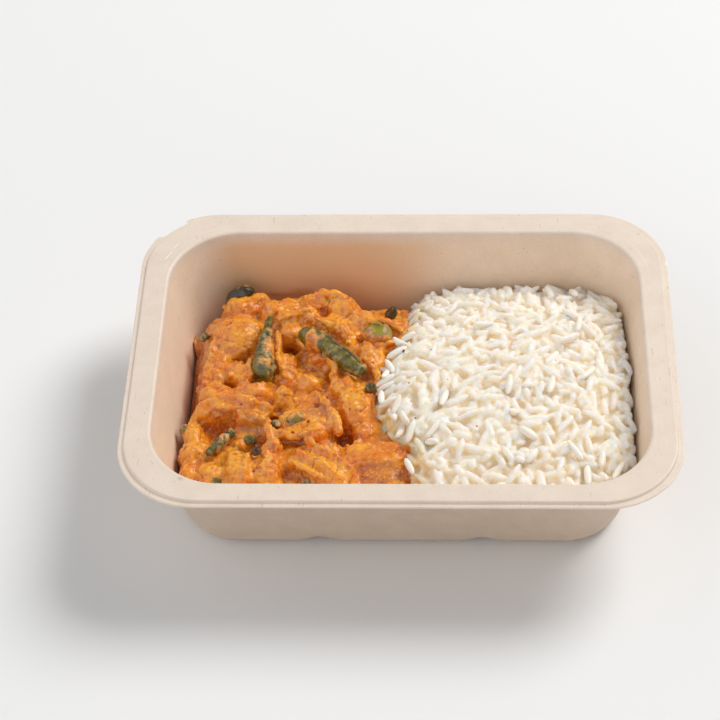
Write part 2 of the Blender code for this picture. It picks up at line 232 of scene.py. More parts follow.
def mottle(finish, size, detail=2.0, roughness=0.5, distortion=0.0, at=None):
    """Cloudy noise with blotches of about this size in millimetres."""
    inputs = {"Vector": at or place_in_piece(finish), "Scale": 1 / (size * MM), "Detail": detail,
              "Roughness": roughness, "Distortion": distortion}
    return add_node(finish, "TexNoise", inputs).outputs["Fac"]


def between(finish, value, low, high):
    """0 where the value is under low, 1 where it is over high, and an even step between."""
    inputs = {"Value": value, "From Min": low, "From Max": high}
    return add_node(finish, "MapRange", inputs, interpolation_type="SMOOTHSTEP").outputs["Result"]


def blend_colours(finish, share, first, second):
    """Mixes two colours; each is a tuple or a socket."""
    mix = add_node(finish, "Mix", data_type="RGBA")
    parts = ((mix.inputs["Factor"], share), (mix.inputs[6], first), (mix.inputs[7], second))
    for socket, value in parts:
        if isinstance(value, bpy.types.NodeSocket):
            join_to(finish, value, socket)
        else:
            socket.default_value = value if isinstance(value, float) else (*value, 1.0)
    return mix.outputs[2]


def arithmetic(finish, operation, first, second=0.0):
    return add_node(finish, "Math", {0: first, 1: second}, operation=operation).outputs[0]


def known(finish, attribute):
    """A number that the modelling stored at each point of the mesh."""
    return add_node(finish, "Attribute", attribute_name=attribute).outputs["Fac"]


def add_bump(finish, shader, height, depth, strength=1.0, over=None):
    """Shades the surface as if raised by height times depth in millimetres."""
    inputs = {"Height": height, "Distance": depth * MM, "Strength": strength}
    if over:
        inputs["Normal"] = over
    bump = add_node(finish, "Bump", inputs)
    join_to(finish, bump.outputs["Normal"], shader.inputs["Normal"])
    return bump.outputs["Normal"]


def add_ripple(finish, shader, height):
    """Makes the wet coat uneven, so that it mirrors the lamps in many small spots."""
    ripple = add_node(finish, "Bump", {"Height": height, "Distance": 0.6 * MM, "Strength": 1.0})
    join_to(finish, ripple.outputs["Normal"], shader.inputs["Coat Normal"])


# %% Helpers for meshes
def make_piece(name, points, faces, finish, stored=None):
    """A mesh object from points in millimetres, smooth shaded, riding on the tray's only body."""
    mesh = bpy.data.meshes.new(name)
    mesh.from_pydata(np.asarray(points, float) * MM, [], faces)
    mesh.validate()
    for attribute, values in (stored or {}).items():
        layer = mesh.attributes.new(attribute, "FLOAT", "POINT")
        layer.data.foreach_set("value", np.asarray(values, np.float32))
    mesh.materials.append(finish)
    mesh.shade_smooth()
    piece = bpy.data.objects.new(name, mesh)
    bpy.context.scene.collection.objects.link(piece)
    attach(piece, "root")
    corners = sum(len(face.vertices) for face in mesh.polygons)
    print(f"{name}: {len(mesh.vertices)} points, {corners - 2 * len(mesh.polygons)} triangles")
    return piece

# %% [markdown]
# ## The tray's shape
# The real tray is pressed from wet plant pulp between a smooth upper tool and a lower tool lined
# with fine mesh. So its inside is smooth and its outside carries a screen mark. Its rim has a
# flat flange with a faint pressed line, a rounded bead into the bowl, and a narrow lip one step
# lower. It could be made by bevelling a box, but each of those bands has its own width. So one
# section, from the middle of the floor over the rim and back under the base, is carried round a
# rounded rectangle, and each band is a few points of that section.

# %% Sizes of the tray
tray_low, tray_high = (in_millimetres(corner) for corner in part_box("fibre_tray"))
LENGTH, WIDTH, HEIGHT = tray_high - tray_low
WALL = 1.1
DRAFT = math.tan(math.radians(12.5))  # lean of the walls, inset for each millimetre down
RIM_INSET = 11.8  # lip edge to inner wall, at flange height
OUTER_INSET = RIM_INSET - WALL * math.hypot(1, DRAFT)
LIP_RADIUS = 31.0
MOUTH_RADIUS = 28.2
BASE_RADIUS = 22.0
BEAD = 1.4
STEP_DROP = 1.35
STEP_INSET = 1.9
SHOULDER_INSET = 2.9
LIP_THICKNESS = 0.95
CREASE_INSET = 7.8
FOOT_FILLET = 6.0
CHANNEL_CENTRE = 31.6
CHANNEL_HALF_WIDTH = 8.3
CHANNEL_DEPTH = 2.5
CHANNEL_FADE = 14.0
print("tray:", LENGTH, WIDTH, HEIGHT)


# %% The walls as inset and corner radius at each height
def foot(z, floor, fillet):
    """How far the rounding into a floor stands in from the straight wall at height z."""
    lean = math.atan(DRAFT)
    reach = fillet * (1 - math.sin(lean))
    below = np.clip(floor + reach - z, 0, reach)
    centre = fillet * math.cos(lean)
    drop = np.clip(floor + fillet - z, 0, fillet)
    arc = centre - np.sqrt(fillet * fillet - drop * drop)
    return np.where(below > 0, arc - below * DRAFT, 0.0)


def wall_inset(z, inset, floor, fillet):
    return inset + (HEIGHT - z) * DRAFT + foot(z, floor, fillet)


def wall_radius(z):
    return MOUTH_RADIUS + (BASE_RADIUS - MOUTH_RADIUS) * (HEIGHT - z) / HEIGHT


def inner_wall(z):
    """Inset and plan radius of the tray's inside at height z."""
    inward = foot(z, WALL, FOOT_FILLET)
    return wall_inset(z, RIM_INSET, WALL, FOOT_FILLET), wall_radius(z) - inward


def outer_wall(z):
    inward = foot(z, 0.0, FOOT_FILLET + WALL)
    return wall_inset(z, OUTER_INSET, 0.0, FOOT_FILLET + WALL), wall_radius(z) + WALL - inward


def rim_radius(inset):
    return LIP_RADIUS + (MOUTH_RADIUS - LIP_RADIUS) * inset / RIM_INSET


def fillet_levels(floor, fillet, steps):
    angles = np.linspace(math.atan(DRAFT), math.pi / 2, steps + 1)
    return floor + fillet * (1 - np.sin(angles))


# %% The section of the tray
def arc(inset, z, radius, start, end, steps):
    """Points of an arc; degrees run from 0, towards the bowl, to 90, straight up."""
    angles = np.radians(np.linspace(start, end, steps + 1))
    return [(inset + radius * math.cos(a), z + radius * math.sin(a)) for a in angles]


def crease(inset):
    """The pressed line in the flange: the band inside it lies a trace higher."""
    groove = -0.07 * math.exp(-((inset - CREASE_INSET) / 0.30) ** 2)
    return groove + 0.13 * float(smoothstep((inset - CREASE_INSET + 0.3) / 0.6))


def rim_section():
    """Bead, flange, shoulder, step, lip and the underside, as (inset, z)."""
    ledge = HEIGHT - STEP_DROP
    points = arc(RIM_INSET - BEAD * 0.75, HEIGHT - BEAD, BEAD, 8, 84, 7)
    for inset in np.arange(RIM_INSET - BEAD * 1.1, SHOULDER_INSET + 0.2, -0.22):
        points.append((inset, HEIGHT - 0.12))
    points += arc(SHOULDER_INSET, HEIGHT - 0.87, 0.75, 90, 172, 6)
    points += arc(STEP_INSET - 0.15, ledge + 0.3, 0.3, -10, -80, 3)
    points += arc(0.5, ledge - 0.5, 0.5, 88, 180, 6)
    points += arc(0.42, ledge - LIP_THICKNESS + 0.42, 0.42, 190, 262, 3)
    points += [(STEP_INSET + 0.5, ledge - LIP_THICKNESS), (SHOULDER_INSET + 0.1, ledge - 0.4),
               (SHOULDER_INSET + 0.8, HEIGHT - WALL - 0.15), (SHOULDER_INSET + 1.8, HEIGHT - WALL)]
    points += [(OUTER_INSET - 1.6, HEIGHT - WALL), (OUTER_INSET - 0.5, HEIGHT - WALL - 0.4),
               (OUTER_INSET + 0.2, HEIGHT - WALL - 1.4)]
    return points


def tray_section():
    """All rings as (inset, radius, z, outside), from the floor's middle line to the base's."""
    rings = []
    floor_inset, floor_radius = inner_wall(WALL)
    base_inset, base_radius = outer_wall(0.0)
    shares = np.linspace(1, 0, 13)[:-1]
    for share in shares:
        inset = floor_inset + (WIDTH / 2 - floor_inset) * share
        rings.append((inset, floor_radius * (1 - share), WALL, 0))
    for z in fillet_levels(WALL, FOOT_FILLET, 7)[::-1]:
        rings.append((*inner_wall(z), z, 0))
    for z in np.linspace(WALL + FOOT_FILLET, HEIGHT - 3.2, 20):
        rings.append((*inner_wall(z), z, 0))
    for inset, z in rim_section():
        rings.append((inset, rim_radius(inset), z, 1 if z < HEIGHT - STEP_DROP - 0.9 else 0))
    for z in np.linspace(HEIGHT - 4, FOOT_FILLET + WALL, 20):
        rings.append((*outer_wall(z), z, 1))
    for z in fillet_levels(0.0, FOOT_FILLET + WALL, 7):
        rings.append((*outer_wall(z), z, 1))
    for share in shares[::-1]:
        inset = base_inset + (WIDTH / 2 - base_inset) * share
        rings.append((inset, base_radius * (1 - share), 0.0, 1))
    return rings


section = tray_section()
print("rings in the section:", len(section))


# %% Round the tray: a template of points on a rounded rectangle
def ring_template(corner_steps=26, long_steps=70, short_steps=46):
    """Each point is (share of the straight half length, of the half width, cosine, sine)."""
    template = []
    corners = ((1, 1), (-1, 1), (-1, -1), (1, -1))
    for k, here in enumerate(corners):
        after = corners[(k + 1) % 4]
        for step in range(corner_steps):
            angle = math.radians(90) * (k + step / corner_steps)
            template.append((*here, math.cos(angle), math.sin(angle)))
        angle = math.radians(90) * (k + 1)
        steps = short_steps if k % 2 else long_steps
        for step in range(steps):
            share = step / steps
            across = [a + (b - a) * share for a, b in zip(here, after)]
            template.append((*across, math.cos(angle), math.sin(angle)))
    return np.array(template)


def channel_lift(x, z):
    """Two shallow channels across the base raise its floor, and fade out up the walls."""
    reach = np.abs(np.abs(x) - CHANNEL_CENTRE) / CHANNEL_HALF_WIDTH
    bump = 0.5 * CHANNEL_DEPTH * (1 + np.cos(math.pi * np.minimum(reach, 1)))
    return bump * (1 - smoothstep(z / CHANNEL_FADE))


def ring_points(template, inset, radius, z):
    half_length = LENGTH / 2 - inset
    half_width = WIDTH / 2 - inset
    radius = min(radius, half_width)
    x = template[:, 0] * (half_length - radius) + radius * template[:, 2]
    y = template[:, 1] * (half_width - radius) + radius * template[:, 3]
    return np.column_stack([x, y, z + channel_lift(x, z)])


# %% Wear: the lip is torn away for a thumb's width at the back left corner
CHIP_DIRECTION = 129.0  # degrees from +X
CHIP_CHORD = 29.3  # the tear runs straight, this far from the middle of the corner's rounding
CHIP_HALF_LENGTH = 6.4


def chip(points):
    """Moves the rim's points in to the tear, and returns how far each one was moved."""
    centre = np.array([-(LENGTH / 2 - LIP_RADIUS), WIDTH / 2 - LIP_RADIUS])
    facing = math.radians(CHIP_DIRECTION)
    outward = np.array([math.cos(facing), math.sin(facing)])
    away = points[:, :2] - centre
    beyond = away @ outward - CHIP_CHORD - 0.3 * noise_at(points * (1, 1, 0.3), 1.6, 3.0)
    along = away @ np.array([-outward[1], outward[0]])
    step = smoothstep((CHIP_HALF_LENGTH - np.abs(along)) / 0.7)
    depth = np.maximum(beyond, 0) * step
    points[:, :2] -= outward * depth[:, None]
    points[:, 2] -= 0.25 * smoothstep(depth / 0.8)
    edge = smoothstep(1 - np.abs(beyond) / 0.9) * step
    return np.maximum(smoothstep(depth / 0.5), edge)


BACK_LIP_OUT = 1.7  # the real rim stands a little further out along the back
BACK_MOUTH_OUT = 0.8
FRONT_LIP_IN = 1.2


def finish_rim(points, inset):
    """Shifts the long sides of the rim, and presses the faint line into the flange."""
    y = points[:, 1] / (WIDTH / 2)
    at_lip = np.clip((RIM_INSET - inset) / RIM_INSET, 0, 1)
    high = smoothstep((points[:, 2] - 34) / 13)
    back = BACK_MOUTH_OUT + (BACK_LIP_OUT - BACK_MOUTH_OUT) * at_lip
    back = back * smoothstep(np.clip(y, 0, 1) * 1.1)
    front = FRONT_LIP_IN * at_lip * smoothstep(np.clip(-y, 0, 1) * 1.1)
    points[:, 1] += high * (back + front)
    if points[0, 2] > HEIGHT - 0.5:
        at_corner = smoothstep((np.abs(points[:, 0]) + points[:, 1] - 140) / 14)
        points[:, 2] += crease(inset) * (0.15 + 0.85 * at_corner)


def build_tray_mesh():
    """Points, faces and stored values of the whole tray."""
    template = ring_template()
    count = len(template)
    rings, outside, torn = [], [], []
    for inset, radius, z, out in section:
        points = ring_points(template, inset, radius, z)
        finish_rim(points, inset)
        near_rim = z > HEIGHT - 4 and inset < 4
        torn.append(chip(points) if near_rim else np.zeros(count))
        rings.append(points)
        outside.append(np.full(count, out))
    points = np.concatenate(rings)
    unevenness = 0.16 * noise_at(points * (1, 1, 0.6), 24.0) * smoothstep((points[:, 2] - 3) / 8)
    points[:, 2] += np.where(points[:, 2] > HEIGHT - 6, unevenness, 0)
    faces = []
    for level in range(len(section) - 1):
        low, high = level * count, (level + 1) * count
        for k in range(count):
            after = (k + 1) % count
            faces.append((low + k, low + after, high + after, high + k))
    return points, faces, np.concatenate(outside), np.concatenate(torn)


def close_middle_lines(piece):
    """The first and last rings are flat lines: their doubled points become one."""
    work = bmesh.new()
    work.from_mesh(piece.data)
    ends = [v for v in work.verts if abs(v.co.y) < 1e-6 and v.co.z < 0.006]
    bmesh.ops.remove_doubles(work, verts=ends, dist=2e-6)
    bmesh.ops.recalc_face_normals(work, faces=work.faces)
    work.to_mesh(piece.data)
    work.free()


# %% [markdown]
# ## The tray's finish
# Moulded fibre is off-white with a warm cast, mottled by the pulp, with short darker fibres and a
# few dark specks. It is matt, with a faint sheen where the smooth tool pressed it. The walls are
# painted other colours than the flange: more orange inside, as painted bounce light from the food
# and painted shade, and much darker outside, as painted shade. So the height is stored too. The
# screen on the outside is finer than a millimetre, so it is a bump pattern of two
# crossing waves, shown only where the section was marked as outside. A torn lip is paler.

# %% Finish of the moulded fibre
def screen_marks(finish, here):
    """Two crossing sets of fine waves."""
    marks = []
    for turn in (0.0, 1.57):
        turned = add_node(finish, "Mapping", {"Vector": here, "Rotation": (0.0, 0.0, turn)})
        wave = add_node(finish, "TexWave", {"Vector": turned.outputs["Vector"],
                                            "Scale": 1 / (6.0 * MM), "Distortion": 0.4},
                        bands_direction="DIAGONAL")
        marks.append(wave.outputs["Fac"])
    return arithmetic(finish, "ADD", *marks)


# The back wall tint is partly fat from the sauce, partly painted shade and painted bounce light.
MARK_COLOURS = {"torn": (0.93, 0.90, 0.87), "scuffed": (1.0, 0.97, 0.93),
                "smudged": (0.20, 0.17, 0.15), "oil_and_painted_bounce": (0.80, 0.47, 0.23),
                "stained": (0.60, 0.23, 0.05)}


def fibre_finish():
    finish, shader = new_finish("moulded_fibre", 0.5, Specular_IOR_Level=0.42, Coat_Weight=0.12,
                                Coat_Roughness=0.28)
    here = place_in_piece(finish)
    outside = known(finish, "outside")
    clouds = between(finish, mottle(finish, 9.0, 4.0, 0.6, at=here), 0.3, 0.7)
    flange = blend_colours(finish, clouds, (0.800, 0.672, 0.560), (0.845, 0.718, 0.608))
    # Inner wall: more orange, painted bounce light and shade. Outer wall: darker, painted shade.
    inner = blend_colours(finish, clouds, (0.840, 0.680, 0.515), (0.885, 0.725, 0.565))
    outer = blend_colours(finish, clouds, (0.580, 0.447, 0.340), (0.625, 0.490, 0.375))
    walls = blend_colours(finish, outside, inner, outer)
    colour = blend_colours(finish, known(finish, "wall"), flange, walls)
    grain = mottle(finish, 0.7, 3.0, 0.6, at=here)
    share = arithmetic(finish, "MULTIPLY", between(finish, grain, 0.45, 0.75), 0.35)
    colour = blend_colours(finish, share, colour, (0.68, 0.54, 0.42))
    stretched = add_node(finish, "Mapping", {"Vector": here, "Rotation": (0.3, 0.2, 0.7),
                                             "Scale": (1.0, 0.22, 1.0)}).outputs["Vector"]
    hairs = between(finish, mottle(finish, 0.9, 1.0, 0.5, 0.6, at=stretched), 0.70, 0.76)
    share = arithmetic(finish, "MULTIPLY", hairs, 0.35)
    colour = blend_colours(finish, share, colour, (0.42, 0.29, 0.19))
    specks = add_node(finish, "TexVoronoi", {"Vector": here, "Scale": 1 / (9.0 * MM)})
    dots = arithmetic(finish, "LESS_THAN", specks.outputs["Distance"], 0.035)
    share = arithmetic(finish, "MULTIPLY", dots, 0.45)
    colour = blend_colours(finish, share, colour, (0.20, 0.12, 0.08))
    for mark, shade in MARK_COLOURS.items():
        colour = blend_colours(finish, known(finish, mark), colour, shade)
    join_to(finish, colour, shader.inputs["Base Color"])
    screen = arithmetic(finish, "MULTIPLY", screen_marks(finish, here), outside)
    relief = arithmetic(finish, "ADD", arithmetic(finish, "MULTIPLY", screen, 0.6),
                        arithmetic(finish, "MULTIPLY", grain, 0.5))
    add_bump(finish, shader, relief, 0.10, 0.55)
    return finish


# %% Marks of use: pale scuffs on the flange, and sauce that stained the wall
SCUFFS = [  # (ends of the stroke in plan, half width), in millimetres
    ((107.2, 51.5), (108.4, 50.2), 0.28), ((108.9, 50.6), (109.3, 48.4), 0.34),
    ((107.4, 48.7), (108.0, 47.6), 0.25), ((109.0, 45.2), (109.6, 43.4), 0.22),
    ((-97.8, 52.6), (-95.4, 57.6), 0.20), ((-95.2, 58.6), (-93.2, 62.2), 0.16),
]
STAINS = [  # (middle of the stain on the wall, radii along, across and up), in millimetres
    ((-44, 62, 20), (8, 6, 1.6)), ((-52, 62, 19), (7, 6, 2.0)),
]
SMUDGES = [((-82.1, -65.5, 48.4), 0.8), ((64.4, -63.0, 22), 0.7), ((-93.5, -57.5, 48.4), 0.35),
           ((97.5, -58.0, 48.4), 0.4), ((101.2, 12.0, 48.4), 0.35), ((-101.0, 22.0, 48.4), 0.3)]


def strokes_at(points):
    """1 on a scuff and 0 beside it, on the upper side of the flange."""
    marked = np.zeros(len(points))
    for start, end, width in SCUFFS:
        start, along = np.array(start), np.array(end) - np.array(start)
        share = np.clip((points[:, :2] - start) @ along / (along @ along), 0, 1)
        distance = np.linalg.norm(points[:, :2] - start - share[:, None] * along, axis=1)
        marked = np.maximum(marked, smoothstep(1.6 - distance / width))
    return marked * (points[:, 2] > HEIGHT - 2.5)


def smudges_at(points):
    marked = np.zeros(len(points))
    for middle, radius in SMUDGES:
        reach = np.linalg.norm(points - np.array(middle), axis=1)
        marked = np.maximum(marked, smoothstep(1.5 - reach / radius))
    return marked


def stains_at(points):
    stained = np.zeros(len(points))
    for middle, radii in STAINS:
        reach = np.linalg.norm((points - np.array(middle)) / np.array(radii), axis=1)
        reach += 0.25 * noise_at(points, 3.0, 8.0)
        stained = np.maximum(stained, smoothstep((1.15 - reach) / 0.5))
    return stained


def oil_and_bounce_at(points):
    """Back wall tint down to the food: fat from the sauce, and painted shade and painted bounce
    light.
    """
    x, y = points[:, 0], points[:, 1]
    reach = smoothstep((x + 84) / 16) * smoothstep((30 - x) / 50) * smoothstep((y - 44) / 12)
    return reach * smoothstep((HEIGHT - 1.5 - points[:, 2]) / 6)


points, faces, outside, torn = build_tray_mesh()
stored = {"outside": outside, "torn": torn,
          # wall: share of the wall colours, which hold painted shade and painted bounce light
          "wall": smoothstep((HEIGHT - 1.5 - points[:, 2]) / 3.5),
          "scuffed": strokes_at(points), "smudged": 0.4 * smudges_at(points),
          # back wall tint: partly fat from the sauce, partly painted shade and painted bounce
          # light
          "oil_and_painted_bounce": 0.75 * oil_and_bounce_at(points) * (1 - outside),
          "stained": 0.7 * stains_at(points) * (1 - outside)}
fibre = fibre_finish()
fine_tray = make_piece("fibre_tray_moulded", points, faces, fibre, stored)
close_middle_lines(fine_tray)
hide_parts("fibre_tray")

# %% [markdown]
# ## Where the rice lies
# The rice is a mound of about a hundred millimetres each way: highest near the front and heaped
# against the right wall, lower along the back wall. Its left edge leans on the curry, and slopes
# down to it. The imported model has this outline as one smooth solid. Here a height map says where
# the top should be, and every later step of the rice reads it.

# %% The outline of the rice
GAP = 0.4  # clearance of the food to the tray's inside


def divide_x(y):
    """Where curry and rice meet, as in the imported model."""
    return 3 - 13.5 * np.exp(-(((y + 2) / 27) ** 2))


def rice_edge(y):
    """Left edge of the grains: at the front a piece of meat pushes them back."""
    return divide_x(y) + 3.8 * smoothstep((-26 - y) / 5)


def rice_level(x, y):
    """The mound's height in millimetres above the base."""
    u = (x - 42) / 50
    v = (y + 12) / 62
    level = 36 - np.where(u > 0, 4, 6) * u * u - np.where(v > 0, 9.2, 7) * v * v
    level += 4 * np.maximum(u, 0) ** 2 * np.maximum(v, 0) ** 2
    return level - 4.5 * (1 - smoothstep((x - divide_x(y)) / 9))


def past_corner(x, y, inset, radius):
    """How far a point is past the straight part of the walls, along X and along Y."""
    return np.abs(x) - (LENGTH / 2 - inset - radius), np.abs(y) - (WIDTH / 2 - inset - radius)


def wall_room(x, y, z):
    """How far a point is inside the tray's inner wall, in millimetres; negative is outside."""
    inset, radius = inner_wall(np.asarray(z, float))
    past_x, past_y = past_corner(x, y, inset, radius)
    outer = np.hypot(np.maximum(past_x, 0), np.maximum(past_y, 0))
    return radius - outer - np.minimum(np.maximum(past_x, past_y), 0)


CELL = 0.5  # pitch of the height map
cells_x = np.arange(-16, 96, CELL)
cells_y = np.arange(-68, 68, CELL)
map_x, map_y = np.meshgrid(cells_x, cells_y)
flat = np.column_stack([map_x.ravel(), map_y.ravel(), np.zeros(map_x.size)])
clumps = (1.7 * noise_at(flat, 9.0) + 1.2 * noise_at(flat, 4.5, 5.0)).reshape(map_x.shape)
rice_target = rice_level(map_x, map_y) + clumps - 1.9
print("rice stands", round(float(rice_target.max()), 1), "mm above the base")

# %% [markdown]
# ## The core of the rice
# Nobody sees deeper than two or three grains, so the inside of the mound is one bumpy solid that
# lies a few millimetres under the top. Its yellower cream colour is painted shade for the gaps
# between grains. It is a
# height map closed by side walls, which follow the divide and the tray's wall.

# %% Build the rice core
CORE_DEPTH = 3.6


def heap_mesh(height_of, inner_side, steps_x, steps_y, base):
    """A closed heap from the divide to the wall; inner_side is 1 for rice, -1 for curry."""
    columns = np.linspace(0, 1, steps_x)
    rows = np.linspace(-1, 1, steps_y)
    top, bottom = [], []
    for share in columns:
        for row in rows:
            y = row * (WIDTH / 2 - RIM_INSET)
            x = divide_x(y) + inner_side * 0.25
            far = inner_side * (LENGTH / 2 - RIM_INSET)
            here = [x + (far - x) * share, y]
            top.append(settle(here, height_of))
            bottom.append(settle(here, lambda *_: base))
    count = len(top)
    faces = []
    for c in range(steps_x - 1):
        for r in range(steps_y - 1):
            a = c * steps_y + r
            b, d, e = a + steps_y, a + 1, a + steps_y + 1
            faces += [(a, b, e, d), (count + a, count + d, count + e, count + b)]
    edge = [c * steps_y for c in range(steps_x)]
    edge += [(steps_x - 1) * steps_y + r for r in range(1, steps_y)]
    edge += [c * steps_y + steps_y - 1 for c in range(steps_x - 2, -1, -1)]
    edge += list(range(steps_y - 2, 0, -1))
    for k, here in enumerate(edge):
        after = edge[(k + 1) % len(edge)]
        faces.append((here, count + here, count + after, after))
    return np.array(top + bottom), faces


def settle(place, height_of):
    """Moves a plan position inside the wall at the height that it has there."""
    x, y = place
    for _ in range(3):
        z = height_of(x, y)
        room = float(wall_room(x, y, z)) - GAP
        if room < 0:
            inset, radius = (float(value) for value in inner_wall(np.array(z)))
            past = np.maximum(past_corner(x, y, inset, radius), 0)
            away = past / max(np.hypot(*past), 1e-6) * np.sign([x, y])
            x, y = x + away[0] * room, y + away[1] * room
    return x, y, float(height_of(x, y))


def core_level(x, y):
    bumps = 0.8 * noise.noise(Vector((x, y, 0)) / 3.0)
    return float(rice_level(x, y)) - CORE_DEPTH + bumps


def rice_finish(name, colour, deep):
    """Cooked rice: white with a little light passing through, and a moist skin."""
    finish, shader = new_finish(name, 0.40, Subsurface_Weight=1.0, Subsurface_Scale=MM,
                                Subsurface_Radius=(8.5, 7.0, 5.2), Specular_IOR_Level=0.25)
    cloudy = between(finish, mottle(finish, 2.2, 2.0), 0.35, 0.7)
    tint = blend_colours(finish, cloudy, colour, deep)
    if name == "rice_grain":
        # Yellower cream deep between the grains: painted shade in the gaps.
        tint = blend_colours(finish, known(finish, "painted_gap_shade"), tint, deep)
        tint = blend_colours(finish, known(finish, "oily"), tint, (1.0, 0.62, 0.24))
    join_to(finish, tint, shader.inputs["Base Color"])
    add_bump(finish, shader, mottle(finish, 0.5, 2.0), 0.05, 0.4)
    return finish


points, faces = heap_mesh(core_level, 1, 90, 110, 4.2)
# Yellower cream colours: painted shade for the gaps between grains.
core_finish = rice_finish("rice_core", (0.98, 0.91, 0.72), (0.97, 0.86, 0.6))
rice_core = make_piece("rice_core", points, faces, core_finish)

# %% [markdown]
# ## Rice grains
# Cooked long grain rice is about nine millimetres long and two and a half thick, slightly bent,
# with tapered ends. The heap could be dropped with rigid bodies, which would be slow for so many.
# Here grains come down one at a time on a height map, which is quicker and repeats exactly.
# Each takes a random direction, finds the two points that it comes to rest on, tilts to them,
# and then raises the map under itself. The next grain goes where the heap is still too low.

# %% Drop the grains
GRAINS = 1780 if FINE else 900
GRAIN_LENGTH = 9.4
GRAIN_THICKNESS = 2.65
STEEPEST = 0.6  # rise of the steepest grain for each millimetre along; a few are steeper
rng = np.random.default_rng(7)


class HeightMap:
    """Heights of the heap so far, on the grid of rice_target."""

    def __init__(self, heights):
        self.heights = heights

    def cell(self, x, y):
        column = np.clip(((x - cells_x[0]) / CELL).astype(int), 0, len(cells_x) - 1)
        row = np.clip(((y - cells_y[0]) / CELL).astype(int), 0, len(cells_y) - 1)
        return row, column

    def highest_under(self, x, y, side_x, side_y):
        """What each station along a grain meets: soft grains sink a little between others."""
        lanes = [self.heights[self.cell(x + side_x * w, y + side_y * w)] for w in (-0.6, 0, 0.6)]
        return 0.5 * np.max(lanes, axis=0) + 0.5 * np.mean(lanes, axis=0)


def resting_line(stations, heights):
    """Middle height and slope of the line that touches the heights from above at balance."""
    best, slope = heights[len(stations) // 2], 0.0
    for i, low in enumerate(stations):
        for j, high in enumerate(stations):
            if low < 0 < high:
                rise = (heights[j] - heights[i]) / (high - low)
                middle = heights[i] - rise * low
                if middle > best:
                    best, slope = middle, rise
    if slope == 0.0:
        slope = 0.5 * (heights[-1] - heights[0]) / (stations[-1] - stations[0])
    return best, slope


def drop_grain(pile, x, y, length, radius, tallest):
    """Where a grain comes to rest, or None if it would reach into the wall or stand too tall."""
    turn = rng.uniform(0, math.pi)
    ahead = np.array([math.cos(turn), math.sin(turn)])
    stations = np.linspace(-0.42, 0.42, 7) * length
    xs, ys = x + ahead[0] * stations, y + ahead[1] * stations
    heights = pile.highest_under(xs, ys, -ahead[1] * radius, ahead[0] * radius)
    middle, slope = resting_line(stations, heights)
    steepest = STEEPEST * rng.choice((1.0, 2.4), p=(0.72, 0.28))
    slope = float(np.clip(0.9 * slope + rng.normal(0, 0.16), -steepest, steepest))
    z = middle + radius * rng.uniform(0.0, 0.45)
    flat_share = 1 / math.hypot(1, slope)
    tips = np.array([-0.5, 0.5]) * length * flat_share
    tip_z = z + slope * tips
    room = wall_room(x + ahead[0] * tips, y + ahead[1] * tips, tip_z)
    over = tip_z - rice_target[pile.cell(x + ahead[0] * tips, y + ahead[1] * tips)]
    if room.min() < radius * 0.6 or over.max() > tallest:
        return None
    if (x + ahead[0] * tips - rice_edge(y + ahead[1] * tips)).min() < -2.0:
        return None
    return ahead, slope, flat_share, z


def raise_pile(pile, x, y, ahead, slope, flat_share, z, length, radius):
    """Adds the grain's upper side to the height map."""
    reach = length / 2 * flat_share + radius
    near = (np.abs(map_x[0] - x) < reach), (np.abs(map_y[:, 0] - y) < reach)
    patch = np.ix_(near[1], near[0])
    dx, dy = map_x[patch] - x, map_y[patch] - y
    along = dx * ahead[0] + dy * ahead[1]
    across = dy * ahead[0] - dx * ahead[1]
    half = length / 2 * flat_share
    over = np.maximum(np.abs(along) - half * 0.85, 0)
    round_off = 1 - (across / radius) ** 2 - (over / radius) ** 2
    top = z + slope * np.clip(along, -half, half) + radius * np.sqrt(np.maximum(round_off, 0))
    pile.heights[patch] = np.where(round_off > 0, np.maximum(pile.heights[patch], top),
                                   pile.heights[patch])


def lay_grain(pile, x, y, length, radius, tallest):
    """Drops a grain and raises the map under it; gives the grain, or None if it can't lie."""
    rest = drop_grain(pile, x, y, length, radius, tallest)
    if rest is None:
        return None
    ahead, slope, flat_share, z = rest
    raise_pile(pile, x, y, ahead, slope, flat_share, z, length, radius)
    return np.array([x, y, z]), np.array([*ahead, slope]) * flat_share, length, radius


def fill_with_grains(pile, count, least_gap, tallest, choices):
    """A list of grains (middle, direction, length, radius) that fills the outline."""
    grains = []
    tries = 0
    while len(grains) < count and tries < count * 12:
        tries += 1
        x = rng.uniform(-13, 91, choices)
        y = rng.uniform(-64, 64, choices)
        row, column = pile.cell(x, y)
        wanted = rice_target[row, column] - pile.heights[row, column]
        allowed = (x > rice_edge(y) - 0.6) & (wall_room(x, y, pile.heights[row, column]) > 1.2)
        wanted = np.where(allowed, wanted, -99)
        pick = int(np.argmax(wanted))
        if wanted[pick] < least_gap:
            continue
        broken = rng.uniform() < 0.12
        if broken:
            length = rng.uniform(3.6, 6.0)
        else:
            length = float(np.clip(rng.normal(GRAIN_LENGTH, 1.0), 6.5, 10.8))
        radius = GRAIN_THICKNESS / 2 * rng.uniform(0.86, 1.12)
        grain = lay_grain(pile, x[pick], y[pick], length, radius, tallest)
        if grain is not None:
            grains.append(grain)
    inside = (map_x > divide_x(map_y) + 2) & (wall_room(map_x, map_y, rice_target) > 3)
    over = (pile.heights - rice_target)[inside]
    spread = [round(float(np.percentile(over, share)), 1) for share in (5, 50, 95)]
    print("over the outline, mm:", spread, tries)
    return grains


pile = HeightMap(rice_target - CORE_DEPTH)
grains = fill_with_grains(pile, GRAINS, 0.4, 4.2, 14)
print("grains:", len(grains))

# %% Shape each grain and join them
GRAIN_SIDES = 8
GRAIN_RINGS = np.array([-1.0, -0.93, -0.78, -0.45, 0.0, 0.45, 0.78, 0.93, 1.0])
GRAIN_GIRTH = np.array([0.18, 0.46, 0.75, 0.99, 1.07, 0.97, 0.70, 0.42, 0.16])


def grain_frame(direction):
    side = np.cross(direction, (0.0, 0.0, 1.0))
    side /= max(np.linalg.norm(side), 1e-6)
    return side, np.cross(side, direction)


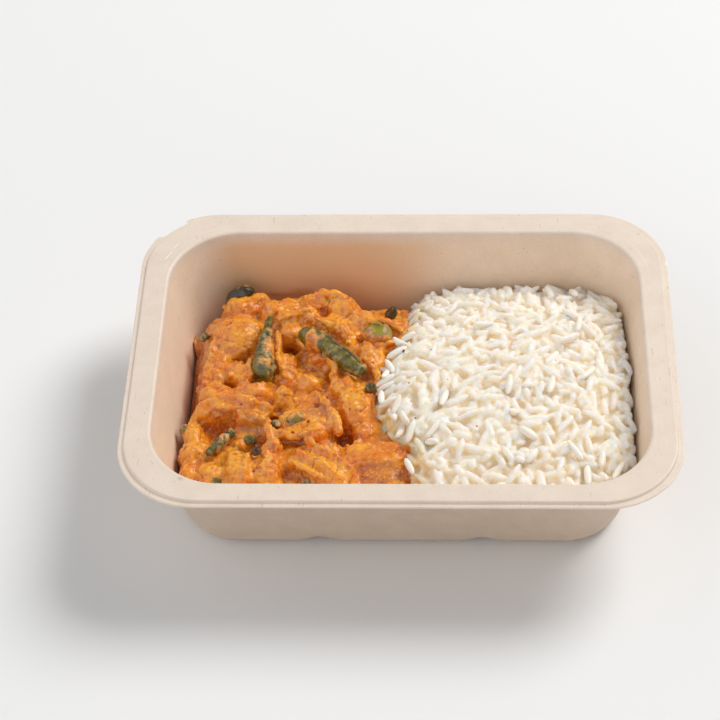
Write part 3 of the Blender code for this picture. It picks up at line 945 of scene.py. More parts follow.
def grain_mesh(grains):
    """All grains as one mesh: each is a bent spindle of a few rings, flattened a little."""
    points, faces = [], []
    angles = np.arange(GRAIN_SIDES) * 2 * math.pi / GRAIN_SIDES
    for middle, direction, length, radius in grains:
        side, upward = grain_frame(direction)
        bend = rng.normal(0, 0.5)
        bend_way = side * math.cos(bend * 3) + upward * math.sin(bend * 3)
        flatness = rng.uniform(0.8, 1.0)
        start = len(points)
        for station, girth in zip(GRAIN_RINGS, GRAIN_GIRTH):
            centre = middle + direction * station * length / 2
            centre = centre + bend_way * bend * (station * station - 0.4)
            girth = girth * radius * (1 + rng.normal(0, 0.035))
            for angle in angles:
                out = side * math.cos(angle) + upward * math.sin(angle) * flatness
                points.append(centre + out * girth)
        for ring in range(len(GRAIN_RINGS) - 1):
            low = start + ring * GRAIN_SIDES
            for k in range(GRAIN_SIDES):
                after = (k + 1) % GRAIN_SIDES
                faces.append((low + k, low + after, low + GRAIN_SIDES + after,
                              low + GRAIN_SIDES + k))
        last = start + (len(GRAIN_RINGS) - 1) * GRAIN_SIDES
        faces.append(tuple(range(start + GRAIN_SIDES - 1, start - 1, -1)))
        faces.append(tuple(range(last, last + GRAIN_SIDES)))
    return np.array(points), faces


# %% [markdown]
# Wet grains stick together: starch fills the narrow gaps, and light goes from grain to grain
# inside the heap. Grains that only cut into each other would keep hidden walls that stop it, and
# would look like dry pellets. So all grains and the core are fused by a voxel remesh, which keeps
# the outer skin alone. Nothing of the heap shows below the curry's level, so it ends there.

# %% Fuse the grains with the core
RICE_VOXEL = 0.5 if FINE else 1.2  # millimetres
RICE_FOOT = 21.0
MOST_TRIANGLES = 185000  # a finer skin than this is thinned out


def fuse(points, faces, voxel, foot):
    """Outer skin of closed meshes that overlap, cut flat at a height, all in millimetres."""
    raw = bpy.data.meshes.new("raw")
    raw.from_pydata([tuple(p) for p in points], [], [tuple(f) for f in faces])
    holder = bpy.data.objects.new("raw", raw)
    bpy.context.scene.collection.objects.link(holder)
    remesh = holder.modifiers.new("fuse", "REMESH")
    remesh.mode = "VOXEL"
    remesh.voxel_size = voxel
    skin = bmesh.new()
    skin.from_object(holder, bpy.context.evaluated_depsgraph_get())
    parts = skin.verts[:] + skin.edges[:] + skin.faces[:]
    bmesh.ops.bisect_plane(skin, geom=parts, plane_co=(0, 0, foot), plane_no=(0, 0, 1),
                           clear_inner=True)
    rim = [edge for edge in skin.edges if edge.is_boundary]
    bmesh.ops.holes_fill(skin, edges=rim, sides=0)
    triangles = sum(len(face.verts) - 2 for face in skin.faces)
    if triangles > MOST_TRIANGLES:
        skin.to_mesh(raw)
        holder.modifiers.remove(remesh)
        holder.modifiers.new("thin out", "DECIMATE").ratio = MOST_TRIANGLES / triangles
        skin.clear()
        skin.from_object(holder, bpy.context.evaluated_depsgraph_get())
    skin.verts.index_update()
    corners = np.array([vert.co for vert in skin.verts])
    quads = [tuple(vert.index for vert in face.verts) for face in skin.faces]
    skin.free()
    bpy.data.objects.remove(holder)
    bpy.data.meshes.remove(raw)
    return corners, quads


def blurred(heights, cells):
    """A height map after a running mean over a square, twice."""
    for axis in (0, 1, 0, 1):
        padded = np.concatenate([np.repeat(np.take(heights, [0], axis), cells, axis), heights,
                                 np.repeat(np.take(heights, [-1], axis), cells, axis)], axis)
        running = np.cumsum(padded, axis)
        width = 2 * cells
        high = np.take(running, range(width, running.shape[axis]), axis)
        low = np.take(running, range(0, running.shape[axis] - width), axis)
        heights = (high - low) / width
    return heights


points, faces = grain_mesh(grains)
pile_mean = blurred(pile.heights, 3)
filler = pile_mean - 1.9 - 1.1 * (1 - smoothstep((map_x - rice_edge(map_y)) / 9))


def filler_level(x, y):
    return float(filler[pile.cell(np.array(x), np.array(y))])


core_points, core_faces = heap_mesh(filler_level, 1, 130, 160, 16.0)
shift = len(points)
points = np.vstack([points, core_points])
faces += [tuple(shift + k for k in face) for face in core_faces]
points, faces = fuse(points, faces, RICE_VOXEL, RICE_FOOT)
# Deeper points between the grains get the yellower deep colour: painted shade in the gaps.
depth = pile_mean[pile.cell(points[:, 0], points[:, 1])] - points[:, 2]
painted_gap_shade = smoothstep((depth + 0.6) / 4.0)
grain_white = rice_finish("rice_grain", (1.0, 0.910, 0.865), (1.0, 0.81, 0.61))
near_curry = 1 - smoothstep((points[:, 0] - rice_edge(points[:, 1])) / 7)
oily = 0.85 * near_curry * smoothstep(0.75 + 1.1 * noise_at(points, 4.0, 12))
rice_heap = make_piece("rice_heap", points, faces, grain_white,
                       {"painted_gap_shade": painted_gap_shade, "oily": oily})

# %% [markdown]
# ## Loose grains
# The last grains lie on the heap without sticking to it, so they stay whole and crisp. They are
# dropped by the same rule, over a heap that may stand a little above its outline.

# %% Drop the loose grains
LOOSE = 24
loose = fill_with_grains(pile, LOOSE, -4.5, 6.2, 4)
ON_THE_CURRY = [  # (one tip, other tip): grains that strayed over the edge of the curry
    ((1.8, -39.6, 30.2), (5.0, -47.0, 29.6)), ((6.0, -34.0, 31.4), (9.6, -41.4, 31.6)),
    ((-4.2, 24.5, 30.6), (1.5, 19.6, 31.8)),
]
for y in np.linspace(-25, 26, 16):  # more lie on the slope down to the curry
    x = float(rice_edge(y)) + rng.uniform(1.5, 6.5)
    grain = lay_grain(pile, x, y, rng.uniform(7.0, 9.5), GRAIN_THICKNESS / 2, 9.0)
    if grain is not None:
        loose.append(grain)
for start, end in ON_THE_CURRY:
    start, end = np.array(start), np.array(end)
    length = float(np.linalg.norm(end - start))
    loose.append(((start + end) / 2, (end - start) / length, length, GRAIN_THICKNESS / 2))
points, faces = grain_mesh(loose)
loose_white, shader = new_finish("loose_grain", 0.42, Specular_IOR_Level=0.25,
                                 Subsurface_Weight=0.5, Subsurface_Scale=MM,
                                 Subsurface_Radius=(1.0, 0.8, 0.6))
cloudy = between(loose_white, mottle(loose_white, 3.0), 0.35, 0.65)
grain_tint = blend_colours(loose_white, cloudy, (0.98, 0.94, 0.87), (0.96, 0.89, 0.78))
join_to(loose_white, grain_tint, shader.inputs["Base Color"])
make_piece("rice_grains", points, faces, loose_white)
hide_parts("steamed_rice")

# %% [markdown]
# ## The curry's lumps
# The left half is chicken in a thick orange sauce. The real thing is torn pieces of meat, all
# coated, with sauce pulled over them in ropes and folds, and deep hollows between. Sculpting by
# hand would work; so would one height map, but that has no overhangs. Here simple closed shapes
# are laid out by name: rounded lumps for meat, tubes for ropes of sauce, and a bed under them.
# A voxel remesh then fuses them, as it did for the rice.

# %% A rounded lump and a tube
def lump(centre, radii, turn=0.0, boxy=2.3, sides=20, rings=12):
    """A closed ellipsoid in millimetres; boxy above 2 swells it towards a block."""
    turn = math.radians(turn)
    points = []
    for ring in range(1, rings):
        polar = math.pi * ring / rings
        for side in range(sides):
            around = 2 * math.pi * side / sides
            unit = np.array([math.sin(polar) * math.cos(around),
                             math.sin(polar) * math.sin(around), math.cos(polar)])
            unit /= np.sum(np.abs(unit) ** boxy) ** (1 / boxy)
            x, y, z = unit * radii
            points.append((centre[0] + x * math.cos(turn) - y * math.sin(turn),
                           centre[1] + x * math.sin(turn) + y * math.cos(turn), centre[2] + z))
    faces = [tuple(range(sides))]
    for ring in range(rings - 2):
        for side in range(sides):
            after = (side + 1) % sides
            low = ring * sides
            faces.append((low + side, low + sides + side, low + sides + after, low + after))
    last = (rings - 2) * sides
    faces.append(tuple(range(last + sides - 1, last - 1, -1)))
    return np.array(points), faces


def along_path(corners, values, count):
    """Points and values spaced evenly along a smooth path through the corners."""
    corners = np.asarray(corners, float)
    values = np.broadcast_to(np.asarray(values, float), len(corners))
    table = np.column_stack([corners, values])
    table = np.vstack([2 * table[0] - table[1], table, 2 * table[-1] - table[-2]])
    fine = []
    for k in range(1, len(table) - 2):
        before, here, after, later = table[k - 1:k + 3]
        for t in np.linspace(0, 1, 24, endpoint=False):
            fine.append(0.5 * (2 * here + (after - before) * t
                               + (2 * before - 5 * here + 4 * after - later) * t ** 2
                               + (3 * here - before - 3 * after + later) * t ** 3))
    fine.append(table[-2])
    fine = np.array(fine)
    run = np.concatenate([[0], np.cumsum(np.linalg.norm(np.diff(fine[:, :3], axis=0), axis=1))])
    even = np.linspace(0, run[-1], count)
    return np.column_stack([np.interp(even, run, fine[:, k]) for k in range(4)])


def tube(corners, radii, sides=12, rings=20, end=0.6):
    """A closed tube in millimetres with domed ends: end is the dome's length in radii."""
    path = along_path(corners, radii, rings)
    run = np.concatenate([[0], np.cumsum(np.linalg.norm(np.diff(path[:, :3], axis=0), axis=1))])
    points = []
    for k in range(rings):
        ahead = path[min(k + 1, rings - 1), :3] - path[max(k - 1, 0), :3]
        ahead = ahead / np.linalg.norm(ahead)
        side = np.cross(ahead, (0.0, 0.0, 1.0))
        side = side / max(np.linalg.norm(side), 1e-6)
        upward = np.cross(side, ahead)
        near_end = min(run[k], run[-1] - run[k]) / (end * path[k, 3] + 1e-6)
        radius = path[k, 3] * math.sqrt(max(1 - (1 - min(near_end, 1)) ** 2, 0.03))
        for angle in np.arange(sides) * 2 * math.pi / sides:
            out = side * math.cos(angle) + upward * math.sin(angle)
            points.append(path[k, :3] + radius * out)
    faces = [tuple(range(sides - 1, -1, -1))]
    for k in range(rings - 1):
        for s in range(sides):
            after = (s + 1) % sides
            faces.append((k * sides + s, k * sides + after, (k + 1) * sides + after,
                          (k + 1) * sides + s))
    faces.append(tuple(range((rings - 1) * sides, rings * sides)))
    return np.array(points), faces


def joined(meshes):
    """Several meshes as one list of points and one of faces."""
    points, faces, start = [], [], 0
    for some_points, some_faces in meshes:
        points.append(np.asarray(some_points, float))
        faces += [tuple(start + k for k in face) for face in some_faces]
        start += len(some_points)
    return np.vstack(points), faces


# %% Lay out the lumps
CHICKEN = {  # name: (middle, radii, turn in degrees, boxiness)
    "back left": ((-68.5, 30.5, 21), (12.5, 12.2, 10.5), 15, 2.4),
    "back corner": ((-67, 47.5, 21), (8.8, 6.8, 8.2), 8, 2.3),
    "before the stub": ((-60.5, 50.5, 23), (5, 4.5, 6.4), 0, 2.2),
    "left column": ((-75.2, 14, 18.5), (5.8, 14, 10), -4, 2.5),
    "left column foot": ((-76.4, -1, 18), (6.2, 9, 9), 10, 2.3),
    "behind the arch": ((-73.5, -3.5, 24.4), (8, 5.5, 6.6), 0, 2.3),
    "behind the arch right": ((-63.5, -4.8, 24.8), (6, 5, 6.4), 0, 2.3),
    "left middle": ((-67, 9.5, 21), (6.2, 5.6, 9.5), 20, 2.2),
    "left middle low": ((-63.3, 3.5, 22), (4.8, 4.6, 9), 0, 2.1),
    "back shoulder": ((-54, 44.5, 22), (6.2, 6.4, 8.3), 0, 2.2),
    "back one": ((-47.5, 46.5, 21), (7, 6.4, 8.3), 10, 2.3),
    "back two": ((-37.5, 49, 21), (8.2, 5.6, 9.6), 0, 2.4),
    "back three": ((-26, 47, 20), (8.2, 6.6, 10.2), -12, 2.5),
    "back four": ((-17, 41, 20), (6.6, 6.2, 8), -20, 2.3),
    "back five": ((-8.5, 38.5, 19.5), (7, 5, 7.3), 0, 2.3),
    "middle ridge one": ((-46.5, 37.5, 22), (6.2, 5.2, 9), -20, 2.2),
    "middle ridge two": ((-38.5, 38.5, 22), (6, 5.4, 9), 15, 2.2),
    "middle ridge three": ((-30, 37, 21), (7.2, 6, 8.6), -10, 2.3),
    "behind the long bean": ((-22.5, 26, 21), (6, 8, 7.6), 20, 2.3),
    "beside the pod": ((-13, 19.5, 21), (7.5, 9, 8), 10, 2.4),
    "between the beans": ((-46.8, 32, 22), (5.6, 4.8, 8.3), 0, 2.3),
    "below the dark hole": ((-46.8, 14, 21.5), (6, 7.2, 8), 0, 2.3),
    "under the long bean": ((-31, 17, 21.5), (10, 8, 8), -30, 2.3),
    "under the curl": ((-33.5, 7.5, 20.2), (7.5, 6.5, 6.5), 10, 2.3),
    "middle": ((-58.5, -4, 23), (7.4, 5.4, 10), 6, 2.4),
    "peak": ((-53.8, -11.5, 25), (4.0, 2.2, 7.2), -12, 2.0),
    "round": ((-47, -6, 24), (5.0, 4.6, 8), 0, 2.2),
    "granular one": ((-46.2, 6.5, 24), (5.2, 5.6, 6.3), 0, 2.2),
    "granular two": ((-38, 4, 23), (6.2, 5.4, 6.6), 0, 2.2),
    "granular three": ((-23.5, 1, 22.5), (7, 5.6, 8.1), 0, 2.3),
    "granular four": ((-19, -9, 22.5), (7.6, 9, 8.3), 10, 2.4),
    "arch face": ((-59.5, -16.0, 23.6), (7.6, 3.6, 6.6), -8, 2.6),
    "arch face left": ((-71.5, -13.5, 23.4), (8.5, 2.8, 6.4), 6, 2.6),
    "arch left leg": ((-82.6, -22, 19.5), (4.2, 8, 7.7), 8, 2.3),
    "saddle": ((-38, -18.5, 24.4), (11.8, 8.2, 6.3), 0, 2.7),
    "behind the saddle": ((-37, -8, 22.5), (7, 5.5, 7), 0, 2.2),
    "beside the hole": ((-14.6, -20.5, 21.5), (5.4, 5.2, 6.6), 20, 2.4),
    "flat piece": ((-9.5, -34.3, 21.4), (14.2, 6.8, 7.6), 4, 4.0),
    "brown edge": ((-8, -43.2, 18.4), (12, 6, 8.0), 4, 3.0),
    "flat corner": ((2.8, -30.2, 25.3), (2.8, 3.2, 3.6), 20, 2.6),
    "flat edge": ((4.4, -40, 22), (3.4, 7, 4.4), 8, 2.5),
    "ribbed slab": ((-30.8, -41, 23.5), (14.5, 7.2, 6.4), -34, 3.4),
    "smooth column": ((-64.3, -40.5, 22), (4.9, 9.6, 8), 10, 2.3),
    "front left lump": ((-73.2, -42.5, 20.5), (5, 5, 7), 0, 2.2),
    "left edge one": ((-83.2, -30.5, 19), (4.8, 6, 7.5), 0, 2.3),
    "left edge two": ((-83, -39.5, 18.5), (4.2, 6, 6.6), 0, 2.3),
    "front middle": ((-52, -42.5, 21.5), (6.6, 9.6, 7.5), 6, 2.5),
    "front middle knob": ((-52.5, -33, 22), (4.2, 4.4, 6.6), 0, 2.1),
    "front edge": ((-40, -53, 19), (7, 4, 6.5), 0, 2.4),
}
SAUCE_ROPES = [  # (path, radii)
    ([(-84, -18, 23.5), (-81, -13.5, 27.4), (-75.5, -9.6, 30.2), (-69, -8.3, 31.2),
      (-63, -10, 31.4), (-56.5, -12, 31.2)], (1.7, 2.1, 2.3, 2.3, 2.3, 2.0)),
    ([(-37, 13.5, 29), (-32, 14, 31), (-28.3, 11, 31.2), (-26.9, 7, 30.4), (-29, 3.5, 29)],
     (1.6, 2.1, 2.1, 2.0, 1.6)),
    ([(-53.5, -18, 29), (-52.4, -24, 29.8), (-50.5, -29, 28.3), (-49, -33, 26)],
     (1.8, 2.2, 2.6, 3.2)),
    ([(-50, -24.8, 28), (-44, -26.3, 28.8), (-37, -26.6, 29), (-29.5, -25.6, 28.8)],
     (1.8, 2.1, 2.2, 2.0)),
    ([(-34.5, -4, 29.6), (-30.8, -9.5, 30.4), (-27.6, -15.5, 30.4), (-24.8, -21, 29.6),
      (-24.4, -26.5, 28)], (1.6, 2.0, 2.0, 2.1, 1.8)),
    ([(-38.5, -30, 30.8), (-31.5, -34.7, 31.5), (-24, -39.7, 30.5), (-17, -44.5, 27.8)], 1.3),
    ([(-41.5, -35, 30.6), (-35, -39.5, 31.5), (-28.5, -44.1, 30.7), (-22, -48.5, 28.4)], 1.2),
    ([(-44, -40, 29.6), (-38, -44.4, 30.5), (-31, -49.2, 29.4)], 1.2),
    ([(-80, -15.5, 28.3), (-74, -13.2, 29.4), (-67, -12.8, 29.6), (-60, -14, 29.4)], 1.8),
    ([(-86.4, 33, 13.0), (-87.2, 39, 14.5), (-87.8, 45, 15.2)], (1.8, 1.3, 0.6)),
    ([(-59, -35.5, 28.5), (-60.5, -42, 28.6), (-60, -50, 27)], 1.8),
    ([(-77.5, 26, 27), (-78.8, 14, 26.8), (-80, 3, 25.5)], 1.6),
    ([(-61, 15, 29), (-62, 9, 30), (-60, 4, 30.5)], 1.6),
    ([(-51.5, 30, 30.6), (-50.8, 24, 30.6), (-50.6, 17, 30.2), (-49.6, 10, 29.6)],
     (1.1, 1.5, 1.6, 1.3)),
    ([(-52, 34, 30.5), (-49, 36, 31.2), (-43, 38, 31.2), (-38, 42, 31)], 1.5),
    ([(-41, 47, 29.6), (-34.5, 50, 31), (-28, 50, 30.4), (-21.5, 46.5, 29)], (1.5, 1.7, 2.0, 1.7)),
    ([(-15, 36, 28.3), (-9.5, 36.8, 28.6), (-3.5, 34.5, 27.8), (0.5, 31, 26.8)], 1.6),
    ([(-17, 24.5, 28), (-9.5, 23.8, 28.2), (-2, 26.5, 26.8)], 1.4),
    ([(-14.5, 14, 28.5), (-10.5, 8, 28), (-9.8, 1, 27)], (1.4, 1.9, 1.5)),
]
WAXY_DROPS = [((-27, 32, 29.3), 2.4), ((-25.2, 29.6, 29.4), 2.1), ((-23.4, 27.2, 29), 2.3),
              ((-21.8, 24.3, 28.7), 2.0), ((-34.2, 51.3, 30.2), 2.0), ((-47, -5.5, 30.5), 3.0)]
PITS = [  # (x, y, radius, level of the bed there)
    (-67.8, 5.0, 4.0, 18), (-66, 18.2, 4.5, 20), (-72, -22, 6.0, 18), (-22.5, -22.3, 4.5, 17),
    (-49.6, -16.5, 4.0, 20), (-57.6, -28, 4.5, 20), (-46.0, 24.4, 3.4, 17),
    (-45.0, -41.5, 1.8, 21),
]


BED_LEVEL = 25.0
BED_AT_WALL = 10.0


def bed_level(x, y):
    """Height of the sauce between the lumps: it thins out towards the walls."""
    level = BED_LEVEL + 1.4 * noise.noise(Vector((x, y, 4)) / 8.0)
    room = float(wall_room(x, y, 20.0))
    level = BED_AT_WALL + (level - BED_AT_WALL) * float(smoothstep((room - 1.5) / 9))
    level -= 5.0 * float(smoothstep((y - 38) / 10))
    for pit_x, pit_y, radius, depth in PITS:
        share = float(smoothstep(1.4 - math.hypot(x - pit_x, y - pit_y) / radius))
        level += (depth - level) * share
    return level


shapes = [lump(*values) for values in CHICKEN.values()]
shapes += [tube(path, radii) for path, radii in SAUCE_ROPES]
shapes += [lump(middle, (radius,) * 3) for middle, radius in WAXY_DROPS]
print("lumps, ropes and drops:", len(shapes))

# %% [markdown]
# ## Fusing, and the wet crumbs
# The first fuse gives the broad shape. On it lie hundreds of wet crumbs, from one to four
# millimetres: bits of onion, spice and shredded meat under the sauce. They are dropped along a ray
# and half sunk, and a second fuse takes them in. Then noise of three sizes moves the points out
# and in: the coarse one makes the lumps uneven, and the fine one is the grain of the sauce.

# %% Fuse the curry
CURRY_VOXEL = 0.55 if FINE else 1.2
CURRY_FOOT = 9.0
CRUMBS = 480 if FINE else 240
CRUMB_SPOTS = [(-20, -6, 9), (-40, 38, 7), (-46, 7, 7), (-51, -42, 6), (-24, 29, 6), (-75, 12, 8)]
crumb_rng = np.random.default_rng(23)


def normals_of(points, faces):
    """Unit normals at the points of a mesh."""
    mesh = bpy.data.meshes.new("normals")
    mesh.from_pydata([tuple(p) for p in points], [], faces)
    values = np.zeros(len(points) * 3)
    mesh.vertex_normals.foreach_get("vector", values)
    bpy.data.meshes.remove(mesh)
    return values.reshape(-1, 3)


def keep_inside(points, clearance):
    """Moves points that noise pushed through the wall back inside it."""
    room = wall_room(points[:, 0], points[:, 1], points[:, 2]) - clearance
    inset, radius = inner_wall(points[:, 2])
    past = np.maximum(past_corner(points[:, 0], points[:, 1], inset, radius), 0).T
    away = past / np.maximum(np.linalg.norm(past, axis=1, keepdims=True), 1e-6)
    push = np.minimum(room, 0)[:, None] * away * np.sign(points[:, :2])
    points[:, :2] += push
    return points


def crumbs_on(tree, count):
    """Small lumps half sunk in the surface, in loose groups."""
    crumbs = []
    while len(crumbs) < count:
        x, y = crumb_rng.uniform(-87, -4), crumb_rng.uniform(-56, 56)
        crowd = noise.noise(Vector((x, y, 9)) / 11.0)
        if crumb_rng.uniform() < 0.5:
            spot = CRUMB_SPOTS[crumb_rng.integers(len(CRUMB_SPOTS))]
            x, y = crumb_rng.normal(spot[:2], spot[2] / 2)
            crowd = 0.4
        if x > float(divide_x(y)) - 1 or crowd < crumb_rng.uniform(-0.55, 0.35):
            continue
        place, normal, _, _ = tree.ray_cast(Vector((x, y, 60)), Vector((0, 0, -1)))
        if place is None or place.z < 20:
            continue
        size = crumb_rng.uniform(0.55, 1.45)
        middle = np.array(place) - np.array(normal) * size * crumb_rng.uniform(0.1, 0.6)
        stretch = crumb_rng.uniform(0.75, 1.5, 3)
        crumbs.append(lump(middle, size * stretch, crumb_rng.uniform(0, 180), 2.0, 8, 6))
    return crumbs


shapes.append(heap_mesh(bed_level, -1, 90, 110, 8.0))
points, faces = joined(shapes)
points = keep_inside(points, GAP)
broad_points, broad_faces = fuse(points, faces, 1.0 if FINE else 1.6, CURRY_FOOT)
tree = BVHTree.FromPolygons([Vector(p) for p in broad_points], broad_faces)
crumbs = crumbs_on(tree, CRUMBS)
points, faces = joined([(broad_points, broad_faces)] + crumbs)
points, faces = fuse(points, faces, CURRY_VOXEL, CURRY_FOOT + 0.5)
print("curry:", len(points), "points,", len(crumbs), "crumbs")

# %% Roughen the curry
SMOOTH = ("flat piece", "brown edge", "smooth column", "arch face", "arch face left", "saddle",
          "back left", "left middle", "middle")


def within(points, values):
    """Sum of the values of the named lumps that each point belongs to."""
    total = np.zeros(len(points))
    for name, value in values.items():
        middle, radii, turn, _ = CHICKEN[name]
        turn = math.radians(turn)
        offset = points - np.array(middle)
        along = offset[:, 0] * math.cos(turn) + offset[:, 1] * math.sin(turn)
        across = offset[:, 1] * math.cos(turn) - offset[:, 0] * math.sin(turn)
        reach = np.sqrt((along / (radii[0] + 1.5)) ** 2 + (across / (radii[1] + 1.5)) ** 2
                        + (offset[:, 2] / (radii[2] + 1.5)) ** 2)
        total += value * (1 - smoothstep((reach - 0.75) / 0.5))
    return total


normals = normals_of(points, faces)
above = smoothstep((points[:, 2] - CURRY_FOOT - 1) / 3)
broad = 0.8 * noise_at(points, 6.0, 31)
middling = 0.52 * noise_at(points, 2.7, 32)
grainy = 0.20 * noise_at(points, 1.25, 33)
creases = -0.5 * np.exp(-((noise_at(points, 8.0, 34) / 0.05) ** 2))
creases -= 0.22 * np.exp(-((noise_at(points, 3.6, 35) / 0.07) ** 2))
calm = within(points, {name: 1.0 for name in SMOOTH})
moved = (broad + middling + grainy + creases) * above * (1 - 0.5 * calm)
points = keep_inside(points + normals * moved[:, None], GAP)
# Where the noise pushed the surface in, it is coloured darker: painted shade in the small dips.
sunk = np.clip(-(middling + 2.4 * grainy + 1.2 * creases) / 0.9, 0, 1)
TONES = {  # how much browner (below 0) or yellower (above 0) a piece is than the rest
    "back left": -0.35, "arch face": -0.45, "arch face left": -0.4, "under the curl": 0.4,
    "granular two": 0.4, "middle": 0.3, "brown edge": -1.6,
    "smooth column": 1.0, "front left lump": 0.5, "flat piece": -0.2, "middle ridge one": 0.4,
    "granular four": 0.5, "ribbed slab": 0.35, "round": 0.7, "left column": -0.3,
}
tone = within(points, TONES)
bare_meat = np.linalg.norm((points - np.array([-33.5, -14.5, 29.5])) / (5.0, 4.5, 4.0), axis=1)
tone = tone - 1.3 * (1 - smoothstep((bare_meat - 0.6) / 0.6))
tone = np.clip(tone + 0.35 * noise_at(points, 5.0, 41), -1, 1)


MAP_MIDDLE = (100, 80)  # the tray's middle on the coarse map, in cells of a millimetre
LOWEST_TOP = 16.0


def top_of(points, spread):
    """Mean height of the surface around each point, from a coarse map of its highest points."""
    column = (points[:, 0] + MAP_MIDDLE[0]).astype(int)
    row = (points[:, 1] + MAP_MIDDLE[1]).astype(int)
    highest = np.full((2 * MAP_MIDDLE[1], 2 * MAP_MIDDLE[0]), LOWEST_TOP)
    np.maximum.at(highest, (row, column), points[:, 2])
    return blurred(highest, spread)[row, column]


# Points below the mean top around them are coloured dark: painted shade in the hollows.
painted_hollow_shade = smoothstep((top_of(points, 4) - points[:, 2]) / 7.0)


def sauce_finish():
    """Creamy orange sauce: wet, with light going a little way into it."""
    finish, shader = new_finish("sauce", 0.33, Subsurface_Weight=0.3, Subsurface_Scale=MM,
                                Subsurface_Radius=(1.8, 0.7, 0.25), Coat_Weight=1.0,
                                Coat_Roughness=0.06, Coat_IOR=1.8, Specular_IOR_Level=0.1)
    bright, mid, deep = (1.0, 0.405, 0.022), (0.88, 0.250, 0.008), (0.46, 0.09, 0.005)
    yellow, brown = (1.0, 0.46, 0.030), (0.46, 0.145, 0.050)
    broad_patches = between(finish, mottle(finish, 8.0, 3.0), 0.42, 0.58)
    tint = blend_colours(finish, broad_patches, bright, mid)
    pale = between(finish, mottle(finish, 6.0, 3.0, 0.6, 0.8), 0.55, 0.68)
    pale = arithmetic(finish, "MULTIPLY", pale, 0.7)
    tint = blend_colours(finish, pale, tint, (0.93, 0.40, 0.08))
    tint = blend_colours(finish, known(finish, "yellower"), tint, yellow)
    tint = blend_colours(finish, known(finish, "browner"), tint, brown)
    fine_patches = between(finish, mottle(finish, 2.2, 3.0), 0.54, 0.72)
    tint = blend_colours(finish, fine_patches, tint, (0.62, 0.125, 0.010))
    # Darker in the small dips: painted shade.
    tint = blend_colours(finish, known(finish, "sunk"), tint, (0.50, 0.085, 0.006))
    # Dark in the hollows between the lumps: painted shade.
    tint = blend_colours(finish, known(finish, "painted_hollow_shade"), tint, deep)
    flecks = between(finish, mottle(finish, 1.1, 3.0), 0.54, 0.66)
    flecks = arithmetic(finish, "MULTIPLY", flecks, 0.55)
    tint = blend_colours(finish, flecks, tint, (1.0, 0.53, 0.06))
    specks = between(finish, mottle(finish, 0.9, 2.0), 0.69, 0.76)
    tint = blend_colours(finish, specks, tint, (0.42, 0.06, 0.008))
    join_to(finish, tint, shader.inputs["Base Color"])
    add_bump(finish, shader, mottle(finish, 0.7, 3.0), 0.22, 0.8)
    add_ripple(finish, shader, mottle(finish, 3.0, 1.0))
    return finish


sauce = sauce_finish()
curry = make_piece("curry", points, faces, sauce,
                   {"painted_hollow_shade": painted_hollow_shade, "sunk": 0.8 * sunk, "yellower": 0.7 * np.maximum(tone, 0),
                    "browner": 0.6 * np.maximum(-tone, 0)})
for node in ["curry_sauce"] + [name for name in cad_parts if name.startswith("chicken_")]:
    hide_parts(node)

# %% [markdown]
# ## Green beans
# Pieces of green bean lie in and on the curry: one long pod, one upright with its tip bare,
# one short and fat, and cut ends that only just show. Each is an uneven tube along the same path
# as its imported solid, pinched where it once held a seed. Sauce clings to it in patches. They
# could be only a colour, but real ones stand proud and soften the edge, so a mask moves those
# points out by about half a millimetre and colours them as sauce.

# %% Shape one bean
def bean_mesh(path, radii, coated, seam, seed, patches):
    """Points, faces, sauce mask and seam mask of one bean; seam is the depth of its split."""
    sides = 30 if FINE else 16
    length = sum(math.dist(a, b) for a, b in zip(path, path[1:]))
    rings = int(np.clip(length / (0.35 if FINE else 0.8), 14, 90))
    points, faces = tube(path, radii, sides, rings, 0.8)
    centres = np.repeat(points.reshape(rings, sides, 3).mean(axis=1), sides, axis=0)
    out = points - centres
    girth = np.linalg.norm(out, axis=1, keepdims=True)
    out = out / np.maximum(girth, 1e-6)
    angle = np.tile(np.arange(sides) * 2 * math.pi / sides, rings)
    along = np.repeat(np.linspace(0, length, rings), sides)
    pinch = 0.045 * np.sin(along / 7.5 * 2 * math.pi + seed)
    ribs = 0.03 * np.cos(5 * angle + seed + 0.6 * noise_at(points, 6.0, seed + 6))
    uneven = 0.13 * noise_at(points, 4.0, seed) + 0.07 * noise_at(points, 1.6, seed + 1)
    split = np.exp(-((np.angle(np.exp(1j * (angle - 1.9))) / 0.16) ** 2))
    girth = girth[:, 0] * (1 + pinch + ribs + uneven) - seam * split
    clings = noise_at(points, 4.2, seed + 2) + 0.7 * noise_at(points, 1.7, seed + 3)
    clings += 0.45 * noise_at(points, 0.8, seed + 5)
    for place, spread, direction, width, amount in patches:
        off = np.degrees(np.angle(np.exp(1j * (angle - math.radians(direction)))))
        near = np.exp(-(((along / length - place) / spread) ** 2) - (off / width) ** 2)
        clings += amount * near
    mask = smoothstep((clings - (1 - 2 * coated) * 0.6) / 1.1 + 0.5)
    girth = girth + 0.5 * mask * (1 + 0.9 * noise_at(points, 0.9, seed + 4))
    return centres + out * girth[:, None], faces, mask, split * (seam > 0)


